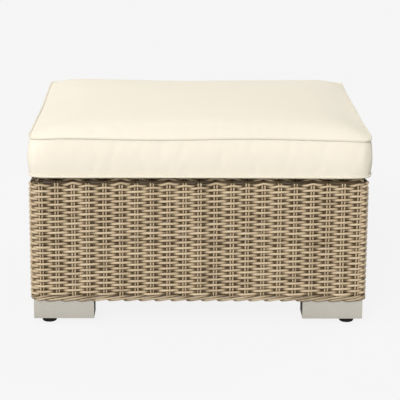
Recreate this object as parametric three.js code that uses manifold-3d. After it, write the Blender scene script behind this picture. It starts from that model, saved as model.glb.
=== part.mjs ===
// Outdoor ottoman footstool: a loose, piped box cushion on a square base. The base is a frame of
// square aluminium tube with a woven resin skin round its four sides, a woven border along the
// bottom edge and a woven deck on top. It stands on four L-shaped legs of rectangular tube with
// screw-in levelling glides.
// Millimetres, +Z up, +X to the right, front towards -Y. The origin is on the floor, below the centre.
import * as THREE from "three";
import { mergeVertices } from "three/addons/utils/BufferGeometryUtils.js";
import Module from "manifold-3d";

const wasm = await Module();
wasm.setup();

// Base, outside sizes
const BASE_WIDTH = 700; // outer faces of the woven skin, left to right
const BASE_DEPTH = 700; // front to back
const FRAME_HEIGHT = 248; // underside of the bottom rails to the top of the top rails
const FIT_GAP = 0.3; // clearance between pieces that sit in or against each other
const CUT_OVERRUN = 5; // how far a cutter runs past the face it cuts

// Frame tubes
const TUBE_SIZE = 25; // square tube of the rails and corner posts
const TUBE_WALL = 1.5;
const TUBE_EDGE_RADIUS = 3;
const POST_FOOT_THICKNESS = 6; // plate welded into the foot of each post
const SLAT_COUNT = 3; // cross tubes under the deck
const SLAT_WIDTH = 30;
const SLAT_HEIGHT = 15;
const SLAT_EDGE_RADIUS = 2;

// Woven skin, border and deck
const SKIN_THICKNESS = 12;
const SKIN_INNER_RADIUS = 3.5; // plan radius of the skin's inside at a corner of the frame
const STAKE_PITCH = 32.7; // between the pairs of upright stakes in the sides
const STAKE_MARGIN = 7.5; // outermost pair from the end of the wall's straight part
const FLOAT_SPACING = 11.8; // from float to float up a pair: three rows of strand
const FLOAT_DROP_SHARE = 1 / 3; // floats below those of the pair to their left, as a share of the spacing
const WEAVE_RELIEF = 5; // valleys between the floats, behind the outer face
const FLOAT_SKIM = 0.2; // floats behind the outer face
const BORDER_HEIGHT = 17;
const BORDER_PROUD = 1; // how far the border stands out from the skin
const BORDER_LIFT = 0.5; // border above the top of the legs
const BORDER_EDGE_RADIUS = 5;

// Legs
const LEG_TUBE_WIDTH = 60;
const LEG_TUBE_HEIGHT = 40;
const LEG_TUBE_WALL = 1.8;
const LEG_ARM_LENGTH = 125; // outer length of each arm of the L
const LEG_INSET = 8; // leg's outer face behind the skin's outer face
const PLUG_LENGTH = 15;
const PLUG_RECESS = 0.5;

// Leg bolts
const BOLT_RADIUS = 4;
const BOLT_LENGTH = 16;
const BOLT_HEAD_RADIUS = 7.5; // across the corners of the hexagon, halved
const BOLT_HEAD_HEIGHT = 5.3;
const BOLT_ACCESS_RADIUS = 8.5; // hole in the leg's underside for the driver

// Levelling glides
const GLIDE_RISE = 13.5; // floor to the legs' underside, with the glides screwed home
const GLIDE_RADIUS = 15.5;
const GLIDE_SOLE_RADIUS = 12;
const GLIDE_SEAT_GAP = 0.5; // top of the pad to the leg
const GLIDE_BEVEL_HEIGHT = 5;
const GLIDE_EDGE_RADIUS = 1.5;
const GLIDE_FLOOR_THICKNESS = 4; // pad below the end of the stud
const STUD_RADIUS = 3.9;
const STUD_LENGTH = 40;
const STUD_CHAMFER = 1;
const NUT_RADIUS = 7; // threaded boss inside the leg
const NUT_HEIGHT = 14;

// Cushion
const CUSHION_OVERHANG = 2; // how far the bottom seam lies outside the base
const CUSHION_WIDTH = BASE_WIDTH + 2 * CUSHION_OVERHANG; // at the bottom seam
const CUSHION_DEPTH = BASE_DEPTH + 2 * CUSHION_OVERHANG;
const CUSHION_CORNER_RADIUS = 22;
const TOP_SEAM_INSET = 2; // top seam inside the bottom seam, on each side
const BOXING_HEIGHT = 77; // bottom seam to top seam
const BOXING_BULGE = 2.5;
const SIDE_DRAW = 3; // how far the front and the two sides pull in between the corners
const BOTTOM_SEAM_LIFT = 5.5; // bottom seam above the underside
const MARGIN_SPAN = 15; // margin of the underside that rises to the seam
const SHOULDER_RISE = 12; // quick rise of the top panel beside its seam
const SHOULDER_SPAN = 30;
const CROWN_RISE = 9; // slow rise from the shoulder to the middle
const SHOULDER_SHARES = [0, 0.3, 0.65, 1]; // rings of the top panel, of the shoulder's span
const MIDDLE_SHARES = [0.3, 0.6, 0.85]; // and of the half width
const COVER_THICKNESS = 1.5;
const PIPING_RADIUS = 2.2;

// Zip in the rear boxing
const ZIP_LENGTH = 580;
const ZIP_CHAIN_HEIGHT = 6;
const ZIP_END_STAND = 14; // slider's centre from the closed end of the zip
const SLIDER_LENGTH = 12;
const SLIDER_WIDTH = 9;
const SLIDER_THICKNESS = 2.2;
const SLIDER_TAIL_SHARE = 0.6; // width of the slider's tail, as a share of its front
const ARCH_LENGTH = 8;
const ARCH_WIDTH = 1.5;
const ARCH_WALL = 1;
const ARCH_HOLE_HEIGHT = 2.2;
const PULL_LENGTH = 30;
const PULL_WIDTH = 6.5;
const PULL_THICKNESS = 1.4;
const PULL_EYE_CLEARANCE = 0.35; // beside the arch, in the pull's eye
const PULL_EYE_LENGTH = 5.4;

// Facets
const CORNER_STEPS = 4;
const EDGE_SEGMENTS = 2;
const SKIN_EDGE_STEPS = 3;
const ROUND_SEGMENTS = 20;
const STUD_SEGMENTS = 16;
const PANEL_SIDE_STEPS = 6;
const BOXING_STEPS = 6;
const PIPING_SIDES = 6;
const HEX_SIDES = 6;

// Levels
const LEG_TOP = GLIDE_RISE + LEG_TUBE_HEIGHT;
const FRAME_BOTTOM = LEG_TOP;
const FRAME_TOP = FRAME_BOTTOM + FRAME_HEIGHT;
const DECK_TOP = FRAME_TOP + SKIN_THICKNESS;
const BORDER_BOTTOM = LEG_TOP + BORDER_LIFT;
const SKIN_BOTTOM = BORDER_BOTTOM + BORDER_HEIGHT + FIT_GAP;
const CUSHION_BOTTOM = DECK_TOP + FIT_GAP;
const BOTTOM_SEAM = CUSHION_BOTTOM + BOTTOM_SEAM_LIFT;
const TOP_SEAM = BOTTOM_SEAM + BOXING_HEIGHT;
const ZIP_LEVEL = BOTTOM_SEAM + BOXING_HEIGHT / 2;

// Half sizes in plan
const SKIN_HALF_X = BASE_WIDTH / 2;
const SKIN_HALF_Y = BASE_DEPTH / 2;
const FRAME_HALF_X = SKIN_HALF_X - SKIN_THICKNESS - FIT_GAP;
const FRAME_HALF_Y = SKIN_HALF_Y - SKIN_THICKNESS - FIT_GAP;
const LEG_HALF_X = SKIN_HALF_X - LEG_INSET;
const LEG_HALF_Y = SKIN_HALF_Y - LEG_INSET;

const aluminium = new THREE.MeshStandardMaterial({ color: 0xb9b9b6, roughness: 0.45, metalness: 0.8 });
const legPaint = new THREE.MeshStandardMaterial({ color: 0xbcb8ac, roughness: 0.5, metalness: 0.3 });
const blackPlastic = new THREE.MeshStandardMaterial({ color: 0x161616, roughness: 0.6, metalness: 0 });
const zincSteel = new THREE.MeshStandardMaterial({ color: 0xa9acae, roughness: 0.4, metalness: 0.9 });
const wickerResin = new THREE.MeshStandardMaterial({ color: 0xc2ae8b, roughness: 0.6, metalness: 0 });
const canvas = new THREE.MeshStandardMaterial({ color: 0xf4ecd8, roughness: 0.9, metalness: 0 });
const foam = new THREE.MeshStandardMaterial({ color: 0xf2e6b8, roughness: 1, metalness: 0 });
const zipPlastic = new THREE.MeshStandardMaterial({ color: 0xe9e0ca, roughness: 0.5, metalness: 0 });

const ottoman = new THREE.Group();

// Geometry helpers

// A mesh in a group: its name is the piece's name.
function addPiece(group, name, geometry, material, x = 0, y = 0, z = 0) {
  const mesh = new THREE.Mesh(geometry, material);
  mesh.name = name;
  mesh.position.set(x, y, z);
  group.add(mesh);
  return mesh;
}

// Closed mesh as a manifold-3d solid.
function solidOf(geometry) {
  const bare = geometry.clone();
  bare.deleteAttribute("normal");
  bare.deleteAttribute("uv");
  const merged = mergeVertices(bare);
  return new wasm.Manifold(
    new wasm.Mesh({
      numProp: 3,
      vertProperties: merged.getAttribute("position").array,
      triVerts: new Uint32Array(merged.index.array),
    }),
  );
}

// manifold-3d solid as a geometry.
function geometryOf(solid) {
  const mesh = solid.getMesh();
  const geometry = new THREE.BufferGeometry();
  geometry.setAttribute("position", new THREE.BufferAttribute(mesh.vertProperties, 3));
  geometry.setIndex(new THREE.BufferAttribute(mesh.triVerts, 1));
  return geometry;
}

function cut(body, ...cutters) {
  return cutters.reduce((left, cutter) => left.subtract(solidOf(cutter)), solidOf(body));
}

function box(width, depth, height, x, y, z) {
  return new THREE.BoxGeometry(width, depth, height).translate(x, y, z);
}

// Upright cylinder standing on the given level.
function post(radius, height, x, y, bottom, sides = STUD_SEGMENTS) {
  return new THREE.CylinderGeometry(radius, radius, height, sides)
    .rotateX(Math.PI / 2)
    .translate(x, y, bottom + height / 2);
}

function roundedRectangle(target, width, height, radius) {
  const x = width / 2;
  const y = height / 2;
  target.moveTo(x - radius, -y);
  target.absarc(x - radius, radius - y, radius, -Math.PI / 2, 0, false);
  target.absarc(x - radius, y - radius, radius, 0, Math.PI / 2, false);
  target.absarc(radius - x, y - radius, radius, Math.PI / 2, Math.PI, false);
  target.absarc(radius - x, radius - y, radius, Math.PI, 1.5 * Math.PI, false);
  return target;
}

function extrude(shape, depth) {
  return new THREE.ExtrudeGeometry(shape, { depth, bevelEnabled: false, curveSegments: EDGE_SEGMENTS });
}

// Rectangular tube along +Z from the origin, open at both ends.
function tube(width, height, length, wall, radius) {
  const section = roundedRectangle(new THREE.Shape(), width, height, radius);
  section.holes.push(roundedRectangle(new THREE.Path(), width - 2 * wall, height - 2 * wall, radius - wall));
  return extrude(section, length);
}

const alongX = (geometry, length) => geometry.rotateX(Math.PI / 2).rotateZ(Math.PI / 2).translate(-length / 2, 0, 0);
const alongY = (geometry, length) => geometry.rotateX(Math.PI / 2).translate(0, length / 2, 0);

// Stations round a rounded rectangle, anticlockwise from the left end of its rear side: each has a
// point and the direction outwards from it.
function loopStations(halfX, halfY, radius, sideSteps) {
  const corners = [
    [-1, 1, Math.PI / 2],
    [-1, -1, Math.PI],
    [1, -1, 1.5 * Math.PI],
    [1, 1, 2 * Math.PI],
  ];
  const arcs = corners.map(([signX, signY, start]) =>
    Array.from({ length: CORNER_STEPS + 1 }, (_, i) => {
      const angle = start + (i * Math.PI) / 2 / CORNER_STEPS;
      const out = new THREE.Vector2(Math.cos(angle), Math.sin(angle));
      const centre = new THREE.Vector2(signX * (halfX - radius), signY * (halfY - radius));
      return { point: centre.addScaledVector(out, radius), out };
    }),
  );
  return arcs.flatMap((arc, i) => {
    const next = arcs[(i + 1) % arcs.length][0];
    const last = arc[arc.length - 1];
    const between = Array.from({ length: sideSteps - 1 }, (_, k) => ({
      point: last.point.clone().lerp(next.point, (k + 1) / sideSteps),
      out: last.out,
    }));
    return [...arc, ...between];
  });
}

// Section of a wall at a station: each profile point is [distance outwards, height].
function sectionAt({ point, out }, profile) {
  return profile.map(
    ([outwards, height]) => new THREE.Vector3(point.x + out.x * outwards, point.y + out.y * outwards, height),
  );
}

// Closed surface through a list of sections with equally many points. A looped sweep joins the last
// section to the first; otherwise the ends are closed by pairing the section's first half with its
// second half.
function sweep(sections, looped) {
  const n = sections[0].length;
  const faces = [];
  const steps = looped ? sections.length : sections.length - 1;
  for (let i = 0; i < steps; i++) {
    const a = i * n;
    const b = ((i + 1) % sections.length) * n;
    for (let k = 0; k < n; k++) {
      const m = (k + 1) % n;
      faces.push(a + k, b + k, b + m, a + k, b + m, a + m);
    }
  }
  if (!looped) {
    const last = (sections.length - 1) * n;
    for (let k = 0; k + 1 < n / 2; k++) {
      const pair = n - 1 - k;
      faces.push(k, k + 1, pair, k + 1, pair - 1, pair);
      faces.push(last + k, last + pair, last + k + 1, last + k + 1, last + pair, last + pair - 1);
    }
  }
  return facingOut(sections.flat(), faces);
}

// Closed surface through rings from one pole to the other.
function domed(rings, startPole, endPole) {
  const n = rings[0].length;
  const points = [...rings.flat(), startPole, endPole];
  const start = points.length - 2;
  const end = points.length - 1;
  const last = (rings.length - 1) * n;
  const faces = [];
  for (let k = 0; k < n; k++) {
    const m = (k + 1) % n;
    faces.push(start, k, m);
    faces.push(last + k, end, last + m);
    for (let i = 0; i + 1 < rings.length; i++) {
      const a = i * n;
      const b = a + n;
      faces.push(a + k, b + k, b + m, a + k, b + m, a + m);
    }
  }
  return facingOut(points, faces);
}

// Geometry from points and faces, turned round if its faces point inwards.
function facingOut(points, faces) {
  let volume = 0;
  for (let i = 0; i < faces.length; i += 3) {
    const [a, b, c] = faces.slice(i, i + 3).map((k) => points[k]);
    volume += a.dot(b.clone().cross(c));
  }
  const geometry = new THREE.BufferGeometry().setFromPoints(points);
  geometry.setIndex(volume < 0 ? faces.toReversed() : faces);
  return geometry;
}

// Frame

function railsAt(level, prefix) {
  const sideX = 2 * (FRAME_HALF_X - TUBE_SIZE);
  const sideY = 2 * (FRAME_HALF_Y - TUBE_SIZE);
  const middleX = FRAME_HALF_X - TUBE_SIZE / 2;
  const middleY = FRAME_HALF_Y - TUBE_SIZE / 2;
  const make = (length) => tube(TUBE_SIZE, TUBE_SIZE, length, TUBE_WALL, TUBE_EDGE_RADIUS);
  addPiece(ottoman, prefix + "_rail_front", alongX(make(sideX), sideX), aluminium, 0, -middleY, level);
  addPiece(ottoman, prefix + "_rail_back", alongX(make(sideX), sideX), aluminium, 0, middleY, level);
  addPiece(ottoman, prefix + "_rail_left", alongY(make(sideY), sideY), aluminium, -middleX, 0, level);
  addPiece(ottoman, prefix + "_rail_right", alongY(make(sideY), sideY), aluminium, middleX, 0, level);
}

// A corner post: tube with a thick drilled foot, standing on the origin.
function cornerPost() {
  const outer = extrude(roundedRectangle(new THREE.Shape(), TUBE_SIZE, TUBE_SIZE, TUBE_EDGE_RADIUS), FRAME_HEIGHT);
  const bore = TUBE_SIZE - 2 * TUBE_WALL;
  const hollow = extrude(
    roundedRectangle(new THREE.Shape(), bore, bore, TUBE_EDGE_RADIUS - TUBE_WALL),
    FRAME_HEIGHT - POST_FOOT_THICKNESS + CUT_OVERRUN,
  ).translate(0, 0, POST_FOOT_THICKNESS);
  const drill = post(BOLT_RADIUS + FIT_GAP, POST_FOOT_THICKNESS + 2 * CUT_OVERRUN, 0, 0, -CUT_OVERRUN);
  return geometryOf(cut(outer, hollow, drill));
}

function deckSlats() {
  const length = 2 * (FRAME_HALF_X - TUBE_SIZE);
  const inner = 2 * (FRAME_HALF_Y - TUBE_SIZE);
  for (let i = 1; i <= SLAT_COUNT; i++) {
    const slat = tube(SLAT_HEIGHT, SLAT_WIDTH, length, TUBE_WALL, SLAT_EDGE_RADIUS).rotateZ(Math.PI / 2);
    const y = inner * (i / (SLAT_COUNT + 1) - 0.5);
    addPiece(ottoman, "deck_slat_" + i, alongX(slat, length), aluminium, 0, y, FRAME_TOP - SLAT_HEIGHT / 2);
  }
}

// Woven skin

// Skin profile: flat inside, outside upright with a rounded shoulder that meets the deck.
function skinProfile() {
  const shoulder = Array.from({ length: SKIN_EDGE_STEPS + 1 }, (_, i) => {
    const angle = (i * Math.PI) / 2 / SKIN_EDGE_STEPS;
    return [SKIN_THICKNESS * Math.cos(angle), FRAME_TOP + SKIN_THICKNESS * Math.sin(angle)];
  });
  return [[SKIN_THICKNESS, SKIN_BOTTOM], ...shoulder, [0, SKIN_BOTTOM]];
}

// Border profile: a bar with rounded outer edges.
function borderProfile() {
  const outer = SKIN_THICKNESS + BORDER_PROUD;
  const centre = outer - BORDER_EDGE_RADIUS;
  const arc = (start, level) =>
    Array.from({ length: SKIN_EDGE_STEPS + 1 }, (_, i) => {
      const angle = start + (i * Math.PI) / 2 / SKIN_EDGE_STEPS;
      return [centre + BORDER_EDGE_RADIUS * Math.cos(angle), level + BORDER_EDGE_RADIUS * Math.sin(angle)];
    });
  return [
    [0, BORDER_BOTTOM],
    ...arc(-Math.PI / 2, BORDER_BOTTOM + BORDER_EDGE_RADIUS),
    ...arc(0, BORDER_BOTTOM + BORDER_HEIGHT - BORDER_EDGE_RADIUS),
    [0, BORDER_BOTTOM + BORDER_HEIGHT],
  ];
}

// Cutter that leaves the weave's relief on the front, whose straight part runs from -along to along
// and whose outer face is the given distance forward. Its back is a grid of cells, a column of them for
// each pair of stakes, with valleys half-way between the pairs and a peak in every cell: a float, where
// the strands pass over the pair.
function weaveCutter(along, outer) {
  const span = 2 * (along - STAKE_MARGIN);
  const cells = Math.round(span / STAKE_PITCH) + 1;
  const pitch = span / (cells - 1);
  const drop = FLOAT_SPACING * FLOAT_DROP_SHARE;
  const rows = Math.ceil((DECK_TOP - SKIN_BOTTOM + cells * drop) / FLOAT_SPACING) + 1;
  const stake = (c) => STAKE_MARGIN - along + c * pitch;
  const level = (c, m) => SKIN_BOTTOM + (m - 0.5) * FLOAT_SPACING - c * drop;
  const valley = (c) => (c === 0 ? -along : c === cells ? along : stake(c - 0.5));
  const depth = (c) => (c === 0 || c === cells ? outer + FLOAT_SKIM : outer - WEAVE_RELIEF);
  const points = [];
  for (let c = 0; c <= cells; c++) {
    for (let m = 0; m <= rows; m++) {
      points.push(new THREE.Vector3(valley(c), -depth(c), level(c, m)));
      points.push(new THREE.Vector3(valley(c), -outer - CUT_OVERRUN, level(c, m)));
    }
  }
  const near = (c, m) => 2 * (c * (rows + 1) + m);
  const far = (c, m) => near(c, m) + 1;
  const faces = [];
  for (let c = 0; c < cells; c++) {
    for (let m = 0; m < rows; m++) {
      const peak = points.length;
      points.push(new THREE.Vector3(stake(c), FLOAT_SKIM - outer, level(c + 0.5, m + 0.5)));
      const ring = [near(c, m), near(c, m + 1), near(c + 1, m + 1), near(c + 1, m)];
      ring.forEach((corner, i) => faces.push(peak, corner, ring[(i + 1) % ring.length]));
      faces.push(far(c, m), far(c + 1, m), far(c + 1, m + 1), far(c, m), far(c + 1, m + 1), far(c, m + 1));
    }
    faces.push(near(c, 0), near(c + 1, 0), far(c + 1, 0), near(c, 0), far(c + 1, 0), far(c, 0));
    faces.push(near(c, rows), far(c, rows), far(c + 1, rows), near(c, rows), far(c + 1, rows), near(c + 1, rows));
  }
  for (let m = 0; m < rows; m++) {
    faces.push(near(0, m), far(0, m), far(0, m + 1), near(0, m), far(0, m + 1), near(0, m + 1));
    faces.push(near(cells, m), far(cells, m + 1), far(cells, m));
    faces.push(near(cells, m), near(cells, m + 1), far(cells, m + 1));
  }
  return facingOut(points, faces);
}

// A wall round the frame, cut at its mitred corners into one piece for each side.
function mitredWall(profile, prefix, woven) {
  const innerX = SKIN_HALF_X - SKIN_THICKNESS;
  const innerY = SKIN_HALF_Y - SKIN_THICKNESS;
  const stations = loopStations(innerX, innerY, SKIN_INNER_RADIUS, 1);
  const wall = solidOf(sweep(stations.map((station) => sectionAt(station, profile)), true));
  const cornerX = innerX - SKIN_INNER_RADIUS;
  const cornerY = innerY - SKIN_INNER_RADIUS;
  const far = 3 * SKIN_THICKNESS;
  const sides = [
    ["front", cornerX, cornerY, 0],
    ["back", cornerX, cornerY, Math.PI],
    ["left", cornerY, cornerX, -Math.PI / 2],
    ["right", cornerY, cornerX, Math.PI / 2],
  ];
  for (const [name, along, across, turn] of sides) {
    const wedge = new THREE.Shape([
      new THREE.Vector2(-along - far, -across - far),
      new THREE.Vector2(along + far, -across - far),
      new THREE.Vector2(along - far, far - across),
      new THREE.Vector2(far - along, far - across),
    ]);
    const keep = extrude(wedge, DECK_TOP + CUT_OVERRUN).translate(0, -FIT_GAP * Math.SQRT1_2, 0).rotateZ(turn);
    const outer = across + SKIN_INNER_RADIUS + SKIN_THICKNESS;
    const plain = wall.intersect(solidOf(keep));
    const side = woven ? plain.subtract(solidOf(weaveCutter(along, outer).rotateZ(turn))) : plain;
    addPiece(ottoman, prefix + "_" + name, geometryOf(side), wickerResin);
  }
}

function wovenDeck() {
  const plate = roundedRectangle(new THREE.Shape(), 2 * FRAME_HALF_X, 2 * FRAME_HALF_Y, SKIN_INNER_RADIUS);
  addPiece(ottoman, "woven_deck", extrude(plate, SKIN_THICKNESS), wickerResin, 0, 0, FRAME_TOP);
}

// Legs, in a corner's own frame: the L's outer corner at the origin, its arms along +X and +Y.

const ARM_CENTRE = LEG_TUBE_WIDTH / 2;
const POST_CENTRE = SKIN_THICKNESS + FIT_GAP - LEG_INSET + TUBE_SIZE / 2;

function angleShape(inset, reach) {
  const far = LEG_TUBE_WIDTH - inset;
  const points = [
    [inset, inset],
    [reach, inset],
    [reach, far],
    [far, far],
    [far, reach],
    [inset, reach],
  ];
  return new THREE.Shape(points.map(([x, y]) => new THREE.Vector2(x, y)));
}

function legTube() {
  const outer = extrude(angleShape(0, LEG_ARM_LENGTH), LEG_TUBE_HEIGHT);
  const hollow = extrude(
    angleShape(LEG_TUBE_WALL, LEG_ARM_LENGTH + CUT_OVERRUN),
    LEG_TUBE_HEIGHT - 2 * LEG_TUBE_WALL,
  ).translate(0, 0, LEG_TUBE_WALL);
  const nut = post(NUT_RADIUS, NUT_HEIGHT, ARM_CENTRE, ARM_CENTRE, LEG_TUBE_WALL / 2);
  const bore = post(STUD_RADIUS + FIT_GAP, NUT_HEIGHT + 2 * CUT_OVERRUN, ARM_CENTRE, ARM_CENTRE, -CUT_OVERRUN);
  const boltHole = post(BOLT_RADIUS + FIT_GAP, LEG_TUBE_HEIGHT, POST_CENTRE, POST_CENTRE, LEG_TUBE_HEIGHT / 2);
  const access = post(BOLT_ACCESS_RADIUS, LEG_TUBE_WALL + CUT_OVERRUN, POST_CENTRE, POST_CENTRE, -CUT_OVERRUN);
  return geometryOf(
    cut(outer, hollow).add(solidOf(nut)).subtract(solidOf(bore)).subtract(solidOf(boltHole)).subtract(solidOf(access)),
  );
}

// Plug for the open end of an arm, with its outer face towards +X.
function legPlug() {
  const inside = 2 * (LEG_TUBE_WALL + FIT_GAP);
  return box(
    PLUG_LENGTH,
    LEG_TUBE_WIDTH - inside,
    LEG_TUBE_HEIGHT - inside,
    LEG_ARM_LENGTH - PLUG_RECESS - PLUG_LENGTH / 2,
    ARM_CENTRE,
    LEG_TUBE_HEIGHT / 2,
  );
}

// Hexagon bolt: its head bears on the leg's top wall from inside.
function legBolt() {
  const headTop = LEG_TUBE_HEIGHT - LEG_TUBE_WALL - FIT_GAP;
  const head = post(BOLT_HEAD_RADIUS, BOLT_HEAD_HEIGHT, POST_CENTRE, POST_CENTRE, headTop - BOLT_HEAD_HEIGHT, HEX_SIDES);
  const shankBottom = headTop - BOLT_HEAD_HEIGHT / 2;
  const shank = post(BOLT_RADIUS, BOLT_LENGTH + BOLT_HEAD_HEIGHT / 2, POST_CENTRE, POST_CENTRE, shankBottom);
  return geometryOf(solidOf(head).add(solidOf(shank)));
}

// Round pad with a bevelled sole and a socket for the stud, standing on the floor.
function glidePad() {
  const top = GLIDE_RISE - GLIDE_SEAT_GAP;
  const socket = STUD_RADIUS + FIT_GAP;
  const profile = [
    [0, 0],
    [GLIDE_SOLE_RADIUS, 0],
    [GLIDE_RADIUS, GLIDE_BEVEL_HEIGHT],
    [GLIDE_RADIUS, top - GLIDE_EDGE_RADIUS],
    [GLIDE_RADIUS - GLIDE_EDGE_RADIUS, top],
    [socket, top],
    [socket, GLIDE_FLOOR_THICKNESS],
    [0, GLIDE_FLOOR_THICKNESS],
  ];
  return lathe(profile, ROUND_SEGMENTS);
}

function glideStud() {
  const bottom = GLIDE_FLOOR_THICKNESS + FIT_GAP;
  const top = bottom + STUD_LENGTH;
  const profile = [
    [0, bottom],
    [STUD_RADIUS, bottom],
    [STUD_RADIUS, top - STUD_CHAMFER],
    [STUD_RADIUS - STUD_CHAMFER, top],
    [0, top],
  ];
  return lathe(profile, STUD_SEGMENTS);
}

// Solid of revolution about +Z from [radius, height] points.
function lathe(profile, segments) {
  const points = profile.map(([radius, height]) => new THREE.Vector2(radius, height));
  return new THREE.LatheGeometry(points, segments).rotateX(Math.PI / 2);
}

function cornerLegs() {
  const corners = [
    ["front_left", -1, -1, 0],
    ["front_right", 1, -1, Math.PI / 2],
    ["back_right", 1, 1, Math.PI],
    ["back_left", -1, 1, -Math.PI / 2],
  ];
  const postX = FRAME_HALF_X - TUBE_SIZE / 2;
  const postY = FRAME_HALF_Y - TUBE_SIZE / 2;
  for (const [name, signX, signY, turn] of corners) {
    addPiece(ottoman, "corner_post_" + name, cornerPost(), aluminium, signX * postX, signY * postY, FRAME_BOTTOM);
    const corner = new THREE.Group();
    corner.position.set(signX * LEG_HALF_X, signY * LEG_HALF_Y, 0);
    corner.rotation.z = turn;
    ottoman.add(corner);
    addPiece(corner, "leg_" + name, legTube(), legPaint, 0, 0, GLIDE_RISE);
    addPiece(corner, "leg_plug_a_" + name, legPlug(), blackPlastic, 0, 0, GLIDE_RISE);
    const second = addPiece(corner, "leg_plug_b_" + name, legPlug(), blackPlastic, LEG_TUBE_WIDTH, 0, GLIDE_RISE);
    second.rotation.z = Math.PI / 2;
    addPiece(corner, "leg_bolt_" + name, legBolt(), zincSteel, 0, 0, GLIDE_RISE);
    addPiece(corner, "glide_pad_" + name, glidePad(), blackPlastic, ARM_CENTRE, ARM_CENTRE, 0);
    addPiece(corner, "glide_stud_" + name, glideStud(), zincSteel, ARM_CENTRE, ARM_CENTRE, 0);
  }
}

// Cushion

const SEAM_HALF_X = CUSHION_WIDTH / 2;
const SEAM_HALF_Y = CUSHION_DEPTH / 2;
const SEAM_ROOM = PIPING_RADIUS + FIT_GAP; // from a seam's line to the panels beside the piping

// Height of the top panel above its seam, at a distance inside it.
function crownHeight(inside, span) {
  const shoulder = Math.min(inside / SHOULDER_SPAN, 1);
  const middle = Math.min(inside / span, 1);
  return SHOULDER_RISE * Math.sin((shoulder * Math.PI) / 2) + CROWN_RISE * Math.sin((middle * Math.PI) / 2);
}

// Stations round the cushion, inside the bottom seam's line by a distance. The front and the sides
// draw in between the corners; the rear stays straight for its zip.
function cushionLoop(inside) {
  const halfX = SEAM_HALF_X - inside;
  const halfY = SEAM_HALF_Y - inside;
  const radius = CUSHION_CORNER_RADIUS - inside;
  return loopStations(halfX, halfY, radius, PANEL_SIDE_STEPS).map(({ point, out }) => {
    const alongShare = out.y < 0 ? point.x / (halfX - radius) : point.y / (halfY - radius);
    const middle = Math.cos((Math.min(Math.abs(alongShare), 1) * Math.PI) / 2);
    const draw = out.y > 0 ? 0 : SIDE_DRAW * middle;
    return { point: point.clone().addScaledVector(out, -draw), out };
  });
}

// Ring of the cushion's outline, drawn towards the middle until its sides lie a further inset inside.
function cushionRing(inside, inset, level) {
  const share = 1 - inset / middleOf(inside);
  return cushionLoop(inside).map(({ point }) => new THREE.Vector3(point.x * share, point.y * share, level));
}

const middleOf = (inside) => Math.min(SEAM_HALF_X, SEAM_HALF_Y) - inside;

// Rings of a crowned panel from its rim inwards.
function crownRings(inside, rimLevel) {
  const span = middleOf(inside);
  const insets = [
    ...SHOULDER_SHARES.map((share) => share * SHOULDER_SPAN),
    ...MIDDLE_SHARES.map((share) => share * span),
  ];
  return insets.map((inset) => cushionRing(inside, inset, rimLevel + crownHeight(inset, span)));
}

function topPanel() {
  const inside = TOP_SEAM_INSET + SEAM_ROOM;
  const rim = TOP_SEAM + COVER_THICKNESS / 2;
  const peak = rim + crownHeight(middleOf(inside), middleOf(inside));
  return domed(
    [...crownRings(inside, rim).toReversed(), ...crownRings(inside, rim - COVER_THICKNESS)],
    new THREE.Vector3(0, 0, peak),
    new THREE.Vector3(0, 0, peak - COVER_THICKNESS),
  );
}

// Flat underside whose margin rises to the bottom seam.
function bottomPanel() {
  const levels = [
    [0, BOTTOM_SEAM - COVER_THICKNESS / 2],
    [MARGIN_SPAN, CUSHION_BOTTOM],
  ];
  const under = levels.map(([inset, level]) => cushionRing(SEAM_ROOM, inset, level));
  const over = levels.map(([inset, level]) => cushionRing(SEAM_ROOM, inset, level + COVER_THICKNESS));
  return domed(
    [...under.toReversed(), ...over],
    new THREE.Vector3(0, 0, CUSHION_BOTTOM),
    new THREE.Vector3(0, 0, CUSHION_BOTTOM + COVER_THICKNESS),
  );
}

// Outward distance of the boxing's face from the bottom seam's line, at a height.
function boxingFace(level) {
  const share = (level - BOTTOM_SEAM) / BOXING_HEIGHT;
  return BOXING_BULGE * Math.sin(share * Math.PI) - TOP_SEAM_INSET * share;
}

function boxingProfile(from, to, steps) {
  const outer = Array.from({ length: steps + 1 }, (_, i) => {
    const level = from + ((to - from) * i) / steps;
    return [boxingFace(level), level];
  });
  const inner = outer.toReversed().map(([outwards, level]) => [outwards - COVER_THICKNESS, level]);
  return [...outer, ...inner];
}

const rearStation = (x) => ({ point: new THREE.Vector2(x, SEAM_HALF_Y), out: new THREE.Vector2(0, 1) });

// Side band: front, both sides and the rear corners, up to the ends of the zip.
function boxingBand() {
  const loop = cushionLoop(0);
  const rearSteps = PANEL_SIDE_STEPS - 1; // stations within the rear side come last
  const stations = [rearStation(-ZIP_LENGTH / 2), ...loop.slice(0, loop.length - rearSteps), rearStation(ZIP_LENGTH / 2)];
  const profile = boxingProfile(BOTTOM_SEAM + SEAM_ROOM, TOP_SEAM - SEAM_ROOM, BOXING_STEPS);
  return sweep(stations.map((station) => sectionAt(station, profile)), false);
}

function rearStrip(from, to) {
  const end = ZIP_LENGTH / 2 - FIT_GAP;
  const profile = boxingProfile(from, to, BOXING_STEPS / 2);
  return sweep([rearStation(-end), rearStation(end)].map((station) => sectionAt(station, profile)), false);
}

function zipChain() {
  const end = ZIP_LENGTH / 2 - FIT_GAP;
  const profile = boxingProfile(ZIP_LEVEL - ZIP_CHAIN_HEIGHT / 2, ZIP_LEVEL + ZIP_CHAIN_HEIGHT / 2, 2);
  return sweep([rearStation(-end), rearStation(end)].map((station) => sectionAt(station, profile)), false);
}

// Cord of piping round a seam.
function piping(inset, level) {
  const section = Array.from({ length: PIPING_SIDES }, (_, i) => {
    const angle = ((i + 0.5) * 2 * Math.PI) / PIPING_SIDES;
    return [PIPING_RADIUS * Math.cos(angle), level + PIPING_RADIUS * Math.sin(angle)];
  });
  return sweep(cushionLoop(inset).map((station) => sectionAt(station, section)), true);
}

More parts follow.
